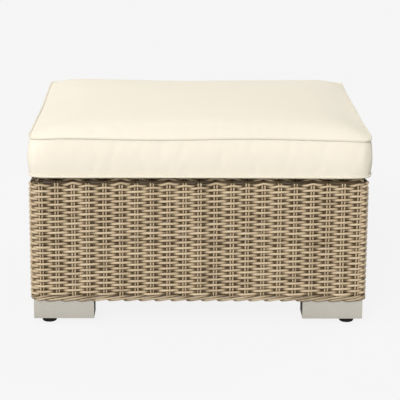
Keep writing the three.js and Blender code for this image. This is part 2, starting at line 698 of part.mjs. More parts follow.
// Foam block that fills the cover, with eased edges beside the piping.
function foamCore() {
  const room = PIPING_RADIUS + COVER_THICKNESS + 2 * FIT_GAP;
  const inside = TOP_SEAM_INSET + room;
  const rim = TOP_SEAM + COVER_THICKNESS / 2 - room;
  const bottom = CUSHION_BOTTOM + COVER_THICKNESS + FIT_GAP;
  return domed(
    [cushionRing(inside, MARGIN_SPAN, bottom), cushionRing(inside, 0, bottom + room), ...crownRings(inside, rim)],
    new THREE.Vector3(0, 0, bottom),
    new THREE.Vector3(0, 0, rim + crownHeight(middleOf(inside), middleOf(inside))),
  );
}

// Zip slider and pull, on the closed end of the zip

const SLIDER_X = ZIP_LENGTH / 2 - ZIP_END_STAND;
const SLIDER_FACE = SEAM_HALF_Y + boxingFace(ZIP_LEVEL) + FIT_GAP; // slider's inner face
const SLIDER_TOP = SLIDER_FACE + SLIDER_THICKNESS;
const PULL_AXIS = SLIDER_TOP + ARCH_HOLE_HEIGHT / 2; // distance back of the pull's pin

// Shield-shaped plate with an arch that holds the pull's pin.
function zipSlider() {
  const front = SLIDER_WIDTH / 2;
  const tail = front * SLIDER_TAIL_SHARE;
  const nose = SLIDER_LENGTH / 2;
  const outline = [
    [nose, -front],
    [nose, front],
    [-nose, tail],
    [-nose, -tail],
  ].map(([x, z]) => new THREE.Vector2(x, z));
  const plate = extrude(new THREE.Shape(outline), SLIDER_THICKNESS).rotateX(-Math.PI / 2);
  const archHeight = ARCH_HOLE_HEIGHT + ARCH_WALL;
  const embed = SLIDER_THICKNESS / 2;
  const archMiddle = SLIDER_THICKNESS + (archHeight - embed) / 2;
  const arch = box(ARCH_LENGTH, archHeight + embed, ARCH_WIDTH, 0, archMiddle, 0);
  const window = box(
    ARCH_LENGTH - 2 * ARCH_WALL,
    ARCH_HOLE_HEIGHT,
    ARCH_WIDTH + 2 * CUT_OVERRUN,
    0,
    SLIDER_THICKNESS + ARCH_HOLE_HEIGHT / 2,
    0,
  );
  return geometryOf(solidOf(plate).add(solidOf(arch).subtract(solidOf(window))));
}

// Flat pull with an eye whose end bar lies in the arch, on the pull's own axis.
function zipPull() {
  const half = PULL_THICKNESS / 2;
  const plate = box(PULL_LENGTH, PULL_THICKNESS, PULL_WIDTH, half - PULL_LENGTH / 2, 0, 0);
  const eye = box(
    PULL_EYE_LENGTH,
    PULL_THICKNESS + 2 * CUT_OVERRUN,
    ARCH_WIDTH + 2 * PULL_EYE_CLEARANCE,
    -half - PULL_EYE_LENGTH / 2,
    0,
    0,
  );
  return geometryOf(cut(plate, eye));
}

function cushion() {
  addPiece(ottoman, "foam_core", foamCore(), foam);
  addPiece(ottoman, "cover_top_panel", topPanel(), canvas);
  addPiece(ottoman, "cover_bottom_panel", bottomPanel(), canvas);
  addPiece(ottoman, "cover_side_band", boxingBand(), canvas);
  const chainEdge = ZIP_CHAIN_HEIGHT / 2 + FIT_GAP;
  addPiece(ottoman, "cover_zip_strip_lower", rearStrip(BOTTOM_SEAM + SEAM_ROOM, ZIP_LEVEL - chainEdge), canvas);
  addPiece(ottoman, "cover_zip_strip_upper", rearStrip(ZIP_LEVEL + chainEdge, TOP_SEAM - SEAM_ROOM), canvas);
  addPiece(ottoman, "piping_bottom", piping(0, BOTTOM_SEAM), canvas);
  addPiece(ottoman, "piping_top", piping(TOP_SEAM_INSET, TOP_SEAM), canvas);
  addPiece(ottoman, "zip_chain", zipChain(), zipPlastic);
  addPiece(ottoman, "zip_slider", zipSlider(), zincSteel, SLIDER_X, SLIDER_FACE, ZIP_LEVEL);
  addPiece(ottoman, "zip_pull", zipPull(), zincSteel, SLIDER_X, PULL_AXIS, ZIP_LEVEL);
}

railsAt(FRAME_BOTTOM + TUBE_SIZE / 2, "bottom");
railsAt(FRAME_TOP - TUBE_SIZE / 2, "top");
deckSlats();
mitredWall(skinProfile(), "woven_side", true);
mitredWall(borderProfile(), "woven_border", false);
wovenDeck();
cornerLegs();
cushion();

export default ottoman;
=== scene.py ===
"""Outdoor ottoman footstool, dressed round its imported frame.

The base is woven from round resin strands over pairs of upright stakes, with a rope-like border along
its lower edge and a woven deck on top. The loose cushion is a piped canvas cover, blown up over its
foam by a cloth simulation. Lengths are in metres, +Z is up, and the front faces -Y.
"""

import logging
import math
from dataclasses import dataclass
from enum import Enum

import bmesh
import bpy
import numpy as np
from mathutils import Matrix, Vector


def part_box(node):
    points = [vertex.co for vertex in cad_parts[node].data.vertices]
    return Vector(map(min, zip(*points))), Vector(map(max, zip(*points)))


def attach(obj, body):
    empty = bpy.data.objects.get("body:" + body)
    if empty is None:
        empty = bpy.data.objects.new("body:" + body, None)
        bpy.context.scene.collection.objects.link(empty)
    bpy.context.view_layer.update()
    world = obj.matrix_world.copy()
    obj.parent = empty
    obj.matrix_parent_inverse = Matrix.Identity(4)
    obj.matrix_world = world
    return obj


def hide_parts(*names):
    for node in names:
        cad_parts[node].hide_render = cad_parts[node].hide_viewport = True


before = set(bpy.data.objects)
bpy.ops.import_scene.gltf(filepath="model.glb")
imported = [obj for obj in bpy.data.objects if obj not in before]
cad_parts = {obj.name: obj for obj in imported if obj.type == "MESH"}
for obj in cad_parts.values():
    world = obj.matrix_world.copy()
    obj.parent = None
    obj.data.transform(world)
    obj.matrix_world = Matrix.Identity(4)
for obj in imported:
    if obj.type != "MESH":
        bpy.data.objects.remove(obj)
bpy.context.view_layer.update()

LOG = logging.getLogger("ottoman")
WELD_DISTANCE = 1e-6
CAD_WELD_DISTANCE = 1e-5
FLAT_ANGLE = math.radians(0.5)
EDGE_ANGLE = math.radians(40)
FULL_TURN = 2 * math.pi

Array = np.ndarray
Piece = bpy.types.Object
Socket = bpy.types.NodeSocket
Node = bpy.types.Node
Tree = bpy.types.NodeTree
Place = tuple[float, float, float]


class Side(Enum):
    """A side of the ottoman, valued by its quarter turns from the front, anticlockwise from above."""

    FRONT = 0
    RIGHT = 1
    BACK = 2
    LEFT = 3

    def turned(self, vectors: Array) -> Array:
        """Points or directions of the front, turned about +Z to this side.

        Args:
            vectors: array whose last axis is x, y, z.

        Returns:
            A new array of the same shape.
        """
        x, y, z = np.moveaxis(vectors, -1, 0)
        places = ((x, y), (-y, x), (-x, -y), (y, -x))
        return np.stack([*places[self.value], z], axis=-1)


def smooth_step(share: Array) -> Array:
    """Smooth rise 3s^2 - 2s^3 from 0 to 1, of shares clipped to that range."""
    s = np.clip(share, 0.0, 1.0)
    return s * s * (3 - 2 * s)


def cosine_step(share: Array) -> Array:
    """Half a cosine wave that rises from 0 to 1: (1 - cos(pi s)) / 2."""
    return (1 - np.cos(math.pi * share)) / 2


def through(values: Array, places: Array) -> Array:
    """Smooth curves through values one apart: each segment is the cubic of its four nearest values.

    Args:
        values: values by curve and whole place.
        places: where to read the curves, from 0 to the last whole place.

    Returns:
        Array of curves by places.
    """
    last = values.shape[1] - 1
    left = np.clip(np.floor(places + 1e-9).astype(int), 0, last - 1)
    t = places - left
    before, here, after, beyond = (values[:, np.clip(left + step, 0, last)] for step in (-1, 0, 1, 2))
    bend = 2 * before - 5 * here + 4 * after - beyond
    twist = 3 * (here - after) + beyond - before
    return here + ((after - before) * t + bend * t**2 + twist * t**3) / 2


def unit(vectors: Array) -> Array:
    """Vectors divided by their lengths, along the last axis."""
    return vectors / np.linalg.norm(vectors, axis=-1, keepdims=True)


def past(value: Array, start: float, span: float) -> Array:
    """0 up to a start, and eased to 1 over a span beyond it."""
    return smooth_step((value - start) / span)


def hump(value: Array, width: float, power: int = 2) -> Array:
    """exp(-(value / width)^power): 1 at 0, and next to nothing far from it."""
    return np.exp(-((value / width) ** power))


def turn_angles(count: int) -> Array:
    """Angles that divide a full turn into equal steps, from 0."""
    return np.arange(count) * FULL_TURN / count


def travelled(points: Array, closed: bool = False) -> Array:
    """Distance along a line at each of its points.

    Args:
        points: the line's points.
        closed: whether the last joins the first, which adds the whole length at the end.

    Returns:
        Distances, from 0.
    """
    if closed:
        points = np.concatenate([points, points[:1]])
    steps = np.linalg.norm(np.diff(points, axis=0), axis=1)
    return np.concatenate([[0.0], np.cumsum(steps)])


def grid_quads(rows: int, columns: int, wrap_rows: bool = False, wrap_columns: bool = False) -> Array:
    """Corner numbers of a grid's quads: here, next column, next row and column, next row.

    Args:
        rows: rows of points.
        columns: points in a row.
        wrap_rows: whether the last row joins the first.
        wrap_columns: whether each row closes on itself.

    Returns:
        Array of four numbers for each quad, row by row.
    """
    start = np.arange(rows if wrap_rows else rows - 1)[:, None] * columns
    column = np.arange(columns if wrap_columns else columns - 1)[None, :]
    next_start = (start + columns) % (rows * columns)
    after = (column + 1) % columns
    corners = [start + column, start + after, next_start + after, next_start + column]
    return np.stack(corners, axis=-1).reshape(-1, 4)


def grid_coordinates(lengthwise: Array, around: Array) -> Array:
    """Texture coordinates of a grid's quads, in the order of grid_quads.

    Args:
        lengthwise: coordinate of each row, one more than the rows of quads.
        around: coordinate of each column, one more than the columns of quads.

    Returns:
        Array of four pairs for each quad.
    """
    u, v = np.meshgrid(lengthwise, around, indexing="ij")
    grid = np.stack([u, v], axis=-1)
    corners = [grid[:-1, :-1], grid[:-1, 1:], grid[1:, 1:], grid[1:, :-1]]
    return np.stack(corners, axis=2).reshape(-1, 4, 2)


class MeshSheet:
    """Gathers arrays of points and faces into one mesh."""

    def __init__(self) -> None:
        """Starts empty."""
        self.points: list[Array] = []
        self.tones: list[Array] = []
        self.faces: list[Array] = []
        self.coordinates: list[Array] = []
        self.count = 0

    def add(self, points: Array, faces: list[tuple[Array, Array]], tones: Array | float = 0.5) -> None:
        """Adds points with their faces.

        Args:
            points: array of places, any shape ending in 3.
            faces: pairs of corner numbers and texture coordinates, for faces with equally many corners.
            tones: shade of the piece's colour at each point, from 0 to 1.
        """
        flat = points.reshape(-1, 3)
        self.points.append(flat)
        self.tones.append(np.broadcast_to(tones, points.shape[:-1]).reshape(-1))
        for corners, coordinates in faces:
            self.faces.append(corners + self.count)
            self.coordinates.append(coordinates)
        self.count += len(flat)

    def build(self, name: str, weld: bool = False, outwards: bool = False) -> Piece:
        """Makes the object.

        Args:
            name: the piece's name.
            weld: whether points in one place become one, as at a pole.
            outwards: whether the closed mesh's faces are turned outwards at the end.

        Returns:
            The new object, at the origin, with smooth faces.
        """
        mesh = bpy.data.meshes.new(name)
        mesh.vertices.add(self.count)
        mesh.vertices.foreach_set("co", np.concatenate(self.points).astype(np.float32).ravel())
        sizes = np.concatenate([np.full(len(f), f.shape[1]) for f in self.faces])
        mesh.loops.add(int(sizes.sum()))
        numbers = np.concatenate([faces.ravel() for faces in self.faces]).astype(np.int32)
        mesh.loops.foreach_set("vertex_index", numbers)
        mesh.polygons.add(len(sizes))
        starts = np.concatenate([[0], np.cumsum(sizes)[:-1]])
        mesh.polygons.foreach_set("loop_start", starts.astype(np.int32))
        mesh.polygons.foreach_set("use_smooth", np.ones(len(sizes), dtype=bool))
        layer = mesh.uv_layers.new(name="UVMap")
        flat = np.concatenate([c.reshape(-1, 2) for c in self.coordinates])
        layer.data.foreach_set("uv", flat.astype(np.float32).ravel())
        tone = mesh.attributes.new("tone", "FLOAT", "POINT")
        tone.data.foreach_set("value", np.concatenate(self.tones).astype(np.float32))
        mesh.update(calc_edges=True)
        if weld or outwards:
            work = bmesh.new()
            work.from_mesh(mesh)
            if weld:
                bmesh.ops.remove_doubles(work, verts=work.verts, dist=WELD_DISTANCE)
                bmesh.ops.dissolve_degenerate(work, edges=work.edges, dist=WELD_DISTANCE)
            if outwards:
                bmesh.ops.recalc_face_normals(work, faces=work.faces)
            work.to_mesh(mesh)
            work.free()
        return linked(name, mesh)


def linked(name: str, data: bpy.types.ID) -> Piece:
    """A new object in the scene, for a mesh, a lamp or a camera."""
    piece = bpy.data.objects.new(name, data)
    bpy.context.scene.collection.objects.link(piece)
    return piece


def mesh_points(mesh: bpy.types.Mesh) -> Array:
    """A mesh's points, row by row."""
    flat = np.empty(len(mesh.vertices) * 3, np.float32)
    mesh.vertices.foreach_get("co", flat)
    return flat.reshape(-1, 3).astype(float)


def set_points(mesh: bpy.types.Mesh, points: Array) -> None:
    """Moves a mesh's points to new places."""
    mesh.vertices.foreach_set("co", points.astype(np.float32).ravel())
    mesh.update()


@dataclass(frozen=True)
class Strands:
    """Round strands of one kind, all with as many stations."""

    paths: Array  # places, by strand and station
    normals: Array  # directions out of the surface that the strands lie in
    radius: Array | float  # radius, by strand and station or any shape that spreads to it
    tones: Array | float  # shade, likewise
    sides: int

    def add_to(self, sheet: MeshSheet) -> None:
        """Adds the strands as closed tubes.

        A ring's point is path + radius (cos(angle) across + sin(angle) outward), where across stands
        square to the normal and the path, and outward to across and the path. Each end is a fan.

        Args:
            sheet: the mesh that takes them.
        """
        count, stations = self.paths.shape[:2]
        tangents = unit(np.gradient(self.paths, axis=1))
        across = unit(np.cross(self.normals, tangents))
        outward = np.cross(tangents, across)
        angles = turn_angles(self.sides)[:, None]
        circle = across[:, :, None] * np.cos(angles) + outward[:, :, None] * np.sin(angles)
        radius = np.broadcast_to(self.radius, (count, stations))
        tones = np.broadcast_to(self.tones, (count, stations))
        rings = self.paths[:, :, None, :] + radius[:, :, None, None] * circle
        girth = np.linspace(0.0, FULL_TURN * float(radius.mean()), self.sides + 1)
        quads = grid_quads(stations, self.sides, wrap_columns=True)
        stride = stations * self.sides
        starts = (np.arange(count) * stride)[:, None, None]
        corners = (quads[None] + starts).reshape(-1, 4)
        coordinates = np.tile(grid_coordinates(travelled(self.paths[0]), girth), (count, 1, 1))
        poles = self.paths[:, [0, -1], :]
        here = np.arange(self.sides)
        after = (here + 1) % self.sides
        total = count * stride
        first_pole = total + 2 * np.arange(count)[:, None]
        last = stride - self.sides
        first = starts[:, :, 0]
        near = np.stack([first_pole + 0 * here, first + after, first + here], axis=-1)
        far = np.stack([first_pole + 1 + 0 * here, first + last + here, first + last + after], axis=-1)
        caps = np.concatenate([near, far]).reshape(-1, 3)
        points = np.concatenate([rings.reshape(-1, 3), poles.reshape(-1, 3)])
        ring_tones = np.repeat(tones.reshape(-1), self.sides)
        pole_tones = tones[:, [0, -1]].reshape(-1)
        faces = [(corners, coordinates), (caps, np.zeros((len(caps), 3, 2)))]
        sheet.add(points, faces, np.concatenate([ring_tones, pole_tones]))


def smooth_noise(random: np.random.Generator, rows: int, knots: int, samples: Array) -> Array:
    """Noise from -1 to 1 that eases between random values at whole numbers.

    Args:
        random: the seeded source.
        rows: how many independent rows.
        knots: random values in each row.
        samples: places along a row, from 0 to knots - 1.

    Returns:
        Array of rows by samples.
    """
    values = random.uniform(-1.0, 1.0, (rows, knots))
    left = np.clip(samples.astype(int), 0, knots - 2)
    share = smooth_step(samples - left)
    return values[:, left] * (1 - share) + values[:, left + 1] * share


class NodeSheet:
    """Adds nodes to a node tree and joins them."""

    def __init__(self, tree: Tree) -> None:
        """Takes the tree that the nodes go into."""
        self.tree = tree

    def add(self, kind: str, inputs: dict | None = None, **settings: object) -> bpy.types.Node:
        """Adds a node.

        Args:
            kind: its type, such as ShaderNodeMath.
            inputs: values or sockets for its inputs, by name or number.
            settings: values for its properties.

        Returns:
            The new node.
        """
        node = self.tree.nodes.new(kind)
        for name, value in settings.items():
            setattr(node, name, value)
        for name, value in (inputs or {}).items():
            if isinstance(value, Socket):
                self.tree.links.new(value, node.inputs[name])
            else:
                node.inputs[name].default_value = value
        return node

    def math(self, operation: str, first: object, second: object = 0.0) -> Socket:
        """A Math node's result."""
        return self.add("ShaderNodeMath", {0: first, 1: second}, operation=operation).outputs[0]

    def mix(self, factor: object, first: object, second: object) -> Socket:
        """Colour between two colours, by a factor."""
        node = self.add("ShaderNodeMix", {0: factor, 6: first, 7: second}, data_type="RGBA")
        return node.outputs[2]

    def spread(self, value: object, low: object, high: object) -> Socket:
        """A value from 0 to 1 carried to the range from low to high."""
        return self.add("ShaderNodeMapRange", {0: value, 3: low, 4: high}).outputs[0]

    def group(self, tree: Tree, **inputs: object) -> Socket:
        """A node group's first result, for values of its own."""
        return self.add("ShaderNodeGroup", inputs, node_tree=tree).outputs[0]

    def bump(self, strength: float, distance: float, height: object) -> Socket:
        """Normals that follow a height."""
        inputs = {"Strength": strength, "Distance": distance, "Height": height}
        return self.add("ShaderNodeBump", inputs).outputs[0]


def node_group(name: str, inputs: dict[str, float | None], output: str) -> tuple[NodeSheet, Node]:
    """An empty shader node group.

    Args:
        name: the group's name.
        inputs: default of each input; None makes it a vector.
        output: name of its one output, a number.

    Returns:
        The group's node sheet and the node that holds its inputs.
    """
    tree = bpy.data.node_groups.new(name, "ShaderNodeTree")
    for label, default in inputs.items():
        kind = "NodeSocketVector" if default is None else "NodeSocketFloat"
        socket = tree.interface.new_socket(name=label, in_out="INPUT", socket_type=kind)
        if default is not None:
            socket.default_value = default
    tree.interface.new_socket(name=output, in_out="OUTPUT", socket_type="NodeSocketFloat")
    sheet = NodeSheet(tree)
    return sheet, sheet.add("NodeGroupInput")


class SharedEffects:
    """Node groups that several finishes use."""

    def __init__(self) -> None:
        """Builds each group once."""
        self.mottle = self._mottle()
        self.plain_weave = self._plain_weave()
        self.streaks = self._streaks()
        self.edge_wear = self._edge_wear()

    @staticmethod
    def _mottle() -> Tree:
        """Soft cloudy variation: a noise of a given scale, carried to the range from Low to High."""
        inputs = {"Vector": None, "Scale": 20.0, "Detail": 3.0, "Low": 0.0, "High": 1.0}
        sheet, given = node_group("mottle", inputs, "Value")
        settings = {name: given.outputs[name] for name in ("Vector", "Scale", "Detail")}
        noise = sheet.add("ShaderNodeTexNoise", settings)
        value = sheet.spread(noise.outputs[0], given.outputs["Low"], given.outputs["High"])
        sheet.add("NodeGroupOutput", {"Value": value})
        return sheet.tree

    @staticmethod
    def _plain_weave() -> Tree:
        """Plain weave: where the product of the two threads' sines is positive the warp lies on top.

        Height is |sin(pi u / t)| on the warp's squares and |sin(pi v / t)| on the weft's.
        """
        sheet, given = node_group("plain_weave", {"Vector": None, "Thread": 0.0008}, "Height")
        split = sheet.add("ShaderNodeSeparateXYZ", {0: given.outputs["Vector"]})
        waves = []
        for axis in range(2):
            count = sheet.math("DIVIDE", split.outputs[axis], given.outputs["Thread"])
            waves.append(sheet.math("SINE", sheet.math("MULTIPLY", count, math.pi)))
        over = sheet.math("GREATER_THAN", sheet.math("MULTIPLY", waves[0], waves[1]), 0.0)
        warp = sheet.math("ABSOLUTE", waves[0])
        weft = sheet.math("ABSOLUTE", waves[1])
        picked = sheet.math("ADD", sheet.math("MULTIPLY", over, sheet.math("SUBTRACT", warp, weft)), weft)
        sheet.add("NodeGroupOutput", {"Height": picked})
        return sheet.tree

    @staticmethod
    def _streaks() -> Tree:
        """Long streaks along a strand: noise whose coordinate is stretched along U."""
        inputs = {"Vector": None, "Along": 30.0, "Around": 1600.0}
        sheet, given = node_group("streaks", inputs, "Value")
        scales = {0: given.outputs["Along"], 1: given.outputs["Around"], 2: 1.0}
        scale = sheet.add("ShaderNodeCombineXYZ", scales)
        stretched = sheet.add(
            "ShaderNodeVectorMath", {0: given.outputs["Vector"], 1: scale.outputs[0]}, operation="MULTIPLY"
        )
        noise = sheet.add("ShaderNodeTexNoise", {"Vector": stretched.outputs[0], "Scale": 1.0, "Detail": 2.0})
        sheet.add("NodeGroupOutput", {"Value": noise.outputs[0]})
        return sheet.tree

    @staticmethod
    def _edge_wear() -> Tree:
        """Mask of sharp edges: pointiness over the middle, times the strength, broken up by noise."""
        inputs = {"Vector": None, "Strength": 6.0, "Flat": 0.52, "Scale": 160.0}
        sheet, given = node_group("edge_wear", inputs, "Mask")
        point = sheet.add("ShaderNodeNewGeometry").outputs["Pointiness"]
        over = sheet.math("SUBTRACT", point, given.outputs["Flat"])
        rise = sheet.math("MULTIPLY", over, given.outputs["Strength"])
        settings = {"Vector": given.outputs["Vector"], "Scale": given.outputs["Scale"], "Detail": 4.0}
        noise = sheet.add("ShaderNodeTexNoise", settings)
        mask = sheet.math("MULTIPLY", rise, noise.outputs[0])
        clamp = sheet.add("ShaderNodeClamp", {0: mask})
        sheet.add("NodeGroupOutput", {"Mask": clamp.outputs[0]})
        return sheet.tree


Colour = tuple[float, float, float]


def opaque(colour: Colour) -> tuple[float, float, float, float]:
    """A colour with full alpha."""
    return (*colour, 1.0)


def grey(level: float) -> tuple[float, float, float, float]:
    """A grey with full alpha."""
    return opaque((level, level, level))


def node_sheet(holder: bpy.types.ID) -> NodeSheet:
    """The emptied nodes of a material or a world."""
    holder.use_nodes = True
    holder.node_tree.nodes.clear()
    return NodeSheet(holder.node_tree)


@dataclass(frozen=True)
class Finish:
    """What all finishes share."""

    name: str
    slot: str

    def inputs(self, sheet: NodeSheet, effects: SharedEffects) -> dict[str, object]:
        """What goes into the Principled shader, which each kind of finish says for itself.

        Args:
            sheet: the material's nodes.
            effects: the shared node groups.

        Returns:
            Values and sockets, by the name of the shader's input.
        """
        raise NotImplementedError

    def build(self, effects: SharedEffects) -> bpy.types.Material:
        """The node material.

        Args:
            effects: the shared node groups.

        Returns:
            The new material.
        """
        material = bpy.data.materials.new(self.name)
        sheet = node_sheet(material)
        shader = sheet.add("ShaderNodeBsdfPrincipled", self.inputs(sheet, effects))
        sheet.add("ShaderNodeOutputMaterial", {0: shader.outputs[0]})
        return material


@dataclass(frozen=True)
class ResinFinish(Finish):
    """Round resin strand: a near-black painted shadow and three shades of tan, streaked lengthwise, satin."""

    # Lowest stop: near-black painted shadow, for the rows under the cushion and the deepest strands behind
    # the stakes.
    painted_shadow_colour: Colour = (0.022, 0.014, 0.006)
    # Reached by the darkest strands, and mostly by the painted shade where strands lie behind.
    dark: Colour = (0.105, 0.066, 0.025)
    middle: Colour = (0.565, 0.44, 0.285)
    light: Colour = (0.74, 0.615, 0.428)
    dark_at: float = 0.3
    middle_at: float = 0.525
    light_at: float = 0.8
    base: float = 0.3  # place on the ramp of tone 0
    contrast: float = 0.5  # how far along the ramp a tone of 1 moves
    streaking: float = 0.3  # how far the streaks shift the tone either way
    blotching: float = 0.18
    roughness: float = 0.46
    groove_depth: float = 0.00010

    def inputs(self, sheet: NodeSheet, effects: SharedEffects) -> dict[str, object]:
        """Streaks and blotches shift the strand's own tone along the ramp."""
        place = sheet.add("ShaderNodeUVMap", uv_map="UVMap").outputs[0]
        tone = sheet.add("ShaderNodeAttribute", attribute_name="tone").outputs["Fac"]
        streak = sheet.group(effects.streaks, Vector=place, Along=35.0, Around=1500.0)
        blotch = sheet.group(
            effects.mottle, Vector=place, Scale=18.0, Detail=2.0, Low=-self.blotching, High=self.blotching
        )
        streaked = sheet.math("ADD", tone, sheet.spread(streak, -self.streaking, self.streaking))
        moved = sheet.math("MULTIPLY", sheet.math("ADD", streaked, blotch), self.contrast)
        ramp = sheet.add("ShaderNodeValToRGB", {0: sheet.math("ADD", moved, self.base)})
        stops = ramp.color_ramp.elements
        stops[0].position = 0.0
        stops[0].color = opaque(self.painted_shadow_colour)
        stops[1].position = self.light_at
        stops[1].color = opaque(self.light)
        stops.new(self.dark_at).color = opaque(self.dark)
        stops.new(self.middle_at).color = opaque(self.middle)
        return {
            "Base Color": ramp.outputs[0],
            "Roughness": sheet.spread(streak, self.roughness - 0.1, self.roughness + 0.12),
            "Normal": sheet.bump(0.6, self.groove_depth, streak),
            "Specular IOR Level": 0.4,
        }


@dataclass(frozen=True)
class CanvasFinish(Finish):
    """Plain-woven canvas, faintly clouded, with fine thread relief."""

    colour: Colour = (0.905, 0.842, 0.708)
    shade: Colour = (0.86, 0.797, 0.655)  # colour of its clouds, and of the painted shade in the dips between threads
    thread: float = 0.0007
    relief: float = 0.00012
    turn: float = 0.0  # angle at which the cloth is cut
    clouding: float = 0.45  # how much the clouds darken it
    # painted shade in the dips between threads
    thread_gap_shade: float = 0.25
    slubs: float = 0.12  # how much uneven threads lighten or darken it

    def inputs(self, sheet: NodeSheet, effects: SharedEffects) -> dict[str, object]:
        """Clouds, painted shade in the dips between threads and slubs mix the two colours, and the threads
        stand out.
        """
        place = sheet.add("ShaderNodeUVMap", uv_map="UVMap").outputs[0]
        rotation = (0.0, 0.0, self.turn)
        turned = sheet.add("ShaderNodeMapping", {"Vector": place, "Rotation": rotation}).outputs[0]
        weave = sheet.group(effects.plain_weave, Vector=turned, Thread=self.thread)
        cloud = sheet.group(effects.mottle, Vector=turned, Scale=9.0, Detail=4.0, Low=0.0, High=0.8)
        slub = sheet.group(effects.streaks, Vector=turned, Along=90.0, Around=1400.0)
        # Painted shade in the dips between threads.
        dip = sheet.math("MULTIPLY", sheet.math("SUBTRACT", 1.0, weave), self.thread_gap_shade)
        shade = sheet.math("ADD", sheet.math("MULTIPLY", cloud, self.clouding), dip)
        threads = sheet.math("ADD", shade, sheet.spread(slub, -self.slubs, self.slubs))
        height = sheet.math("ADD", weave, sheet.math("MULTIPLY", slub, 0.6))
        return {
            "Base Color": sheet.mix(threads, opaque(self.colour), opaque(self.shade)),
            "Roughness": sheet.spread(cloud, 0.82, 0.95),
            "Normal": sheet.bump(0.45, self.relief, height),
            "Specular IOR Level": 0.25,
            "Sheen Weight": 0.12,
            "Sheen Roughness": 0.5,
        }


@dataclass(frozen=True)
class SolidFinish(Finish):
    """Paint, plastic or metal: a mottled colour, worn lighter at its edges, with a fine grain."""

    colour: Colour = (0.5, 0.5, 0.5)
    shade: Colour = (0.45, 0.45, 0.45)  # the colour that it is mottled with
    worn: Colour = (0.6, 0.6, 0.6)
    wear: float = 4.0  # how quickly an edge looks worn
    roughness: float = 0.5
    metal: float = 0.0  # 1 for bare metal, 0 for anything else
    gloss: float = 0.5  # the shader's specular level
    grain_scale: float = 900.0
    grain_depth: float = 0.00004

    def inputs(self, sheet: NodeSheet, effects: SharedEffects) -> dict[str, object]:
        """A cloud mixes the two colours, the worn colour lies on the edges, and the grain stands out."""
        place = sheet.add("ShaderNodeTexCoord").outputs["Object"]
        cloud = sheet.group(effects.mottle, Vector=place, Scale=30.0, Detail=4.0, Low=0.0, High=1.0)
        grain = sheet.group(
            effects.mottle, Vector=place, Scale=self.grain_scale, Detail=2.0, Low=0.0, High=1.0
        )
        edges = sheet.group(effects.edge_wear, Vector=place, Strength=self.wear)
        base = sheet.mix(cloud, opaque(self.colour), opaque(self.shade))
        return {
            "Base Color": sheet.mix(edges, base, opaque(self.worn)),
            "Roughness": sheet.spread(grain, self.roughness - 0.08, self.roughness + 0.08),
            "Metallic": self.metal,
            "Normal": sheet.bump(0.5, self.grain_depth, grain),
            "Specular IOR Level": self.gloss,
        }


FINISHES = (
    ResinFinish("tan_resin_strand", "woven_resin"),
    CanvasFinish("cream_canvas", "canvas"),
    # The piping's colours are the canvas's drawn about a tenth darker, as painted shade on the cord.
    CanvasFinish(
        "bias_cut_piping_painted_shade", "piping_cord", (0.82, 0.77, 0.645), (0.75, 0.70, 0.575), turn=math.pi / 4
    ),
    SolidFinish(
        "warm_grey_powder_coat", "leg_paint",
        (0.50, 0.475, 0.415), (0.47, 0.445, 0.385), (0.62, 0.60, 0.54), roughness=0.46,
    ),
    SolidFinish(
        "moulded_black_plastic", "black_plastic",
        (0.007, 0.006, 0.005), (0.012, 0.010, 0.009), (0.03, 0.028, 0.026),
        roughness=0.72, gloss=0.2, grain_depth=0.00008,
    ),
    SolidFinish(
        "mill_aluminium", "frame_tube",
        (0.60, 0.60, 0.58), (0.50, 0.50, 0.49), (0.75, 0.75, 0.74), roughness=0.42, metal=1.0,
    ),
    SolidFinish(
        "zinc_plated_steel", "zinc_steel",
        (0.62, 0.62, 0.60), (0.50, 0.51, 0.52), (0.80, 0.80, 0.78),
        roughness=0.32, metal=1.0, grain_scale=400.0,
    ),
    SolidFinish(
        "nylon_coil", "zip_plastic",
        (0.84, 0.77, 0.64), (0.78, 0.70, 0.57), (0.88, 0.82, 0.70), roughness=0.4,
    ),
)


class Wardrobe:
    """Every finish of the ottoman, built once."""

    def __init__(self) -> None:
        """Builds the shared effects and the materials."""
        effects = SharedEffects()
        self.finishes: dict[str, Finish] = {finish.name: finish for finish in FINISHES}
        self.materials = {finish.name: finish.build(effects) for finish in FINISHES}

    def dress(self, piece: Piece, finish: str, body: str, *nodes: str) -> Piece:
        """Gives a new piece its finish and body, and hides the CAD nodes that it stands for.

        Args:
            piece: the new object, in place.
            finish: name of its finish.
            body: CAD body that it moves with.
            nodes: CAD nodes that it stands for.

        Returns:
            The same piece.
        """
        piece.data.materials.clear()
        piece.data.materials.append(self.materials[finish])
        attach(piece, body)
        if nodes:
            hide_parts(*nodes)
        LOG.info("%s: %d faces, %s, rides on %s", piece.name, len(piece.data.polygons), finish, body)
        return piece

    def paint(self, node: str, finish: str) -> None:
        """Gives a CAD node that stays its finish."""
        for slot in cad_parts[node].material_slots:
            slot.material = self.materials[finish]
        LOG.info("%s: CAD node, %s", node, finish)


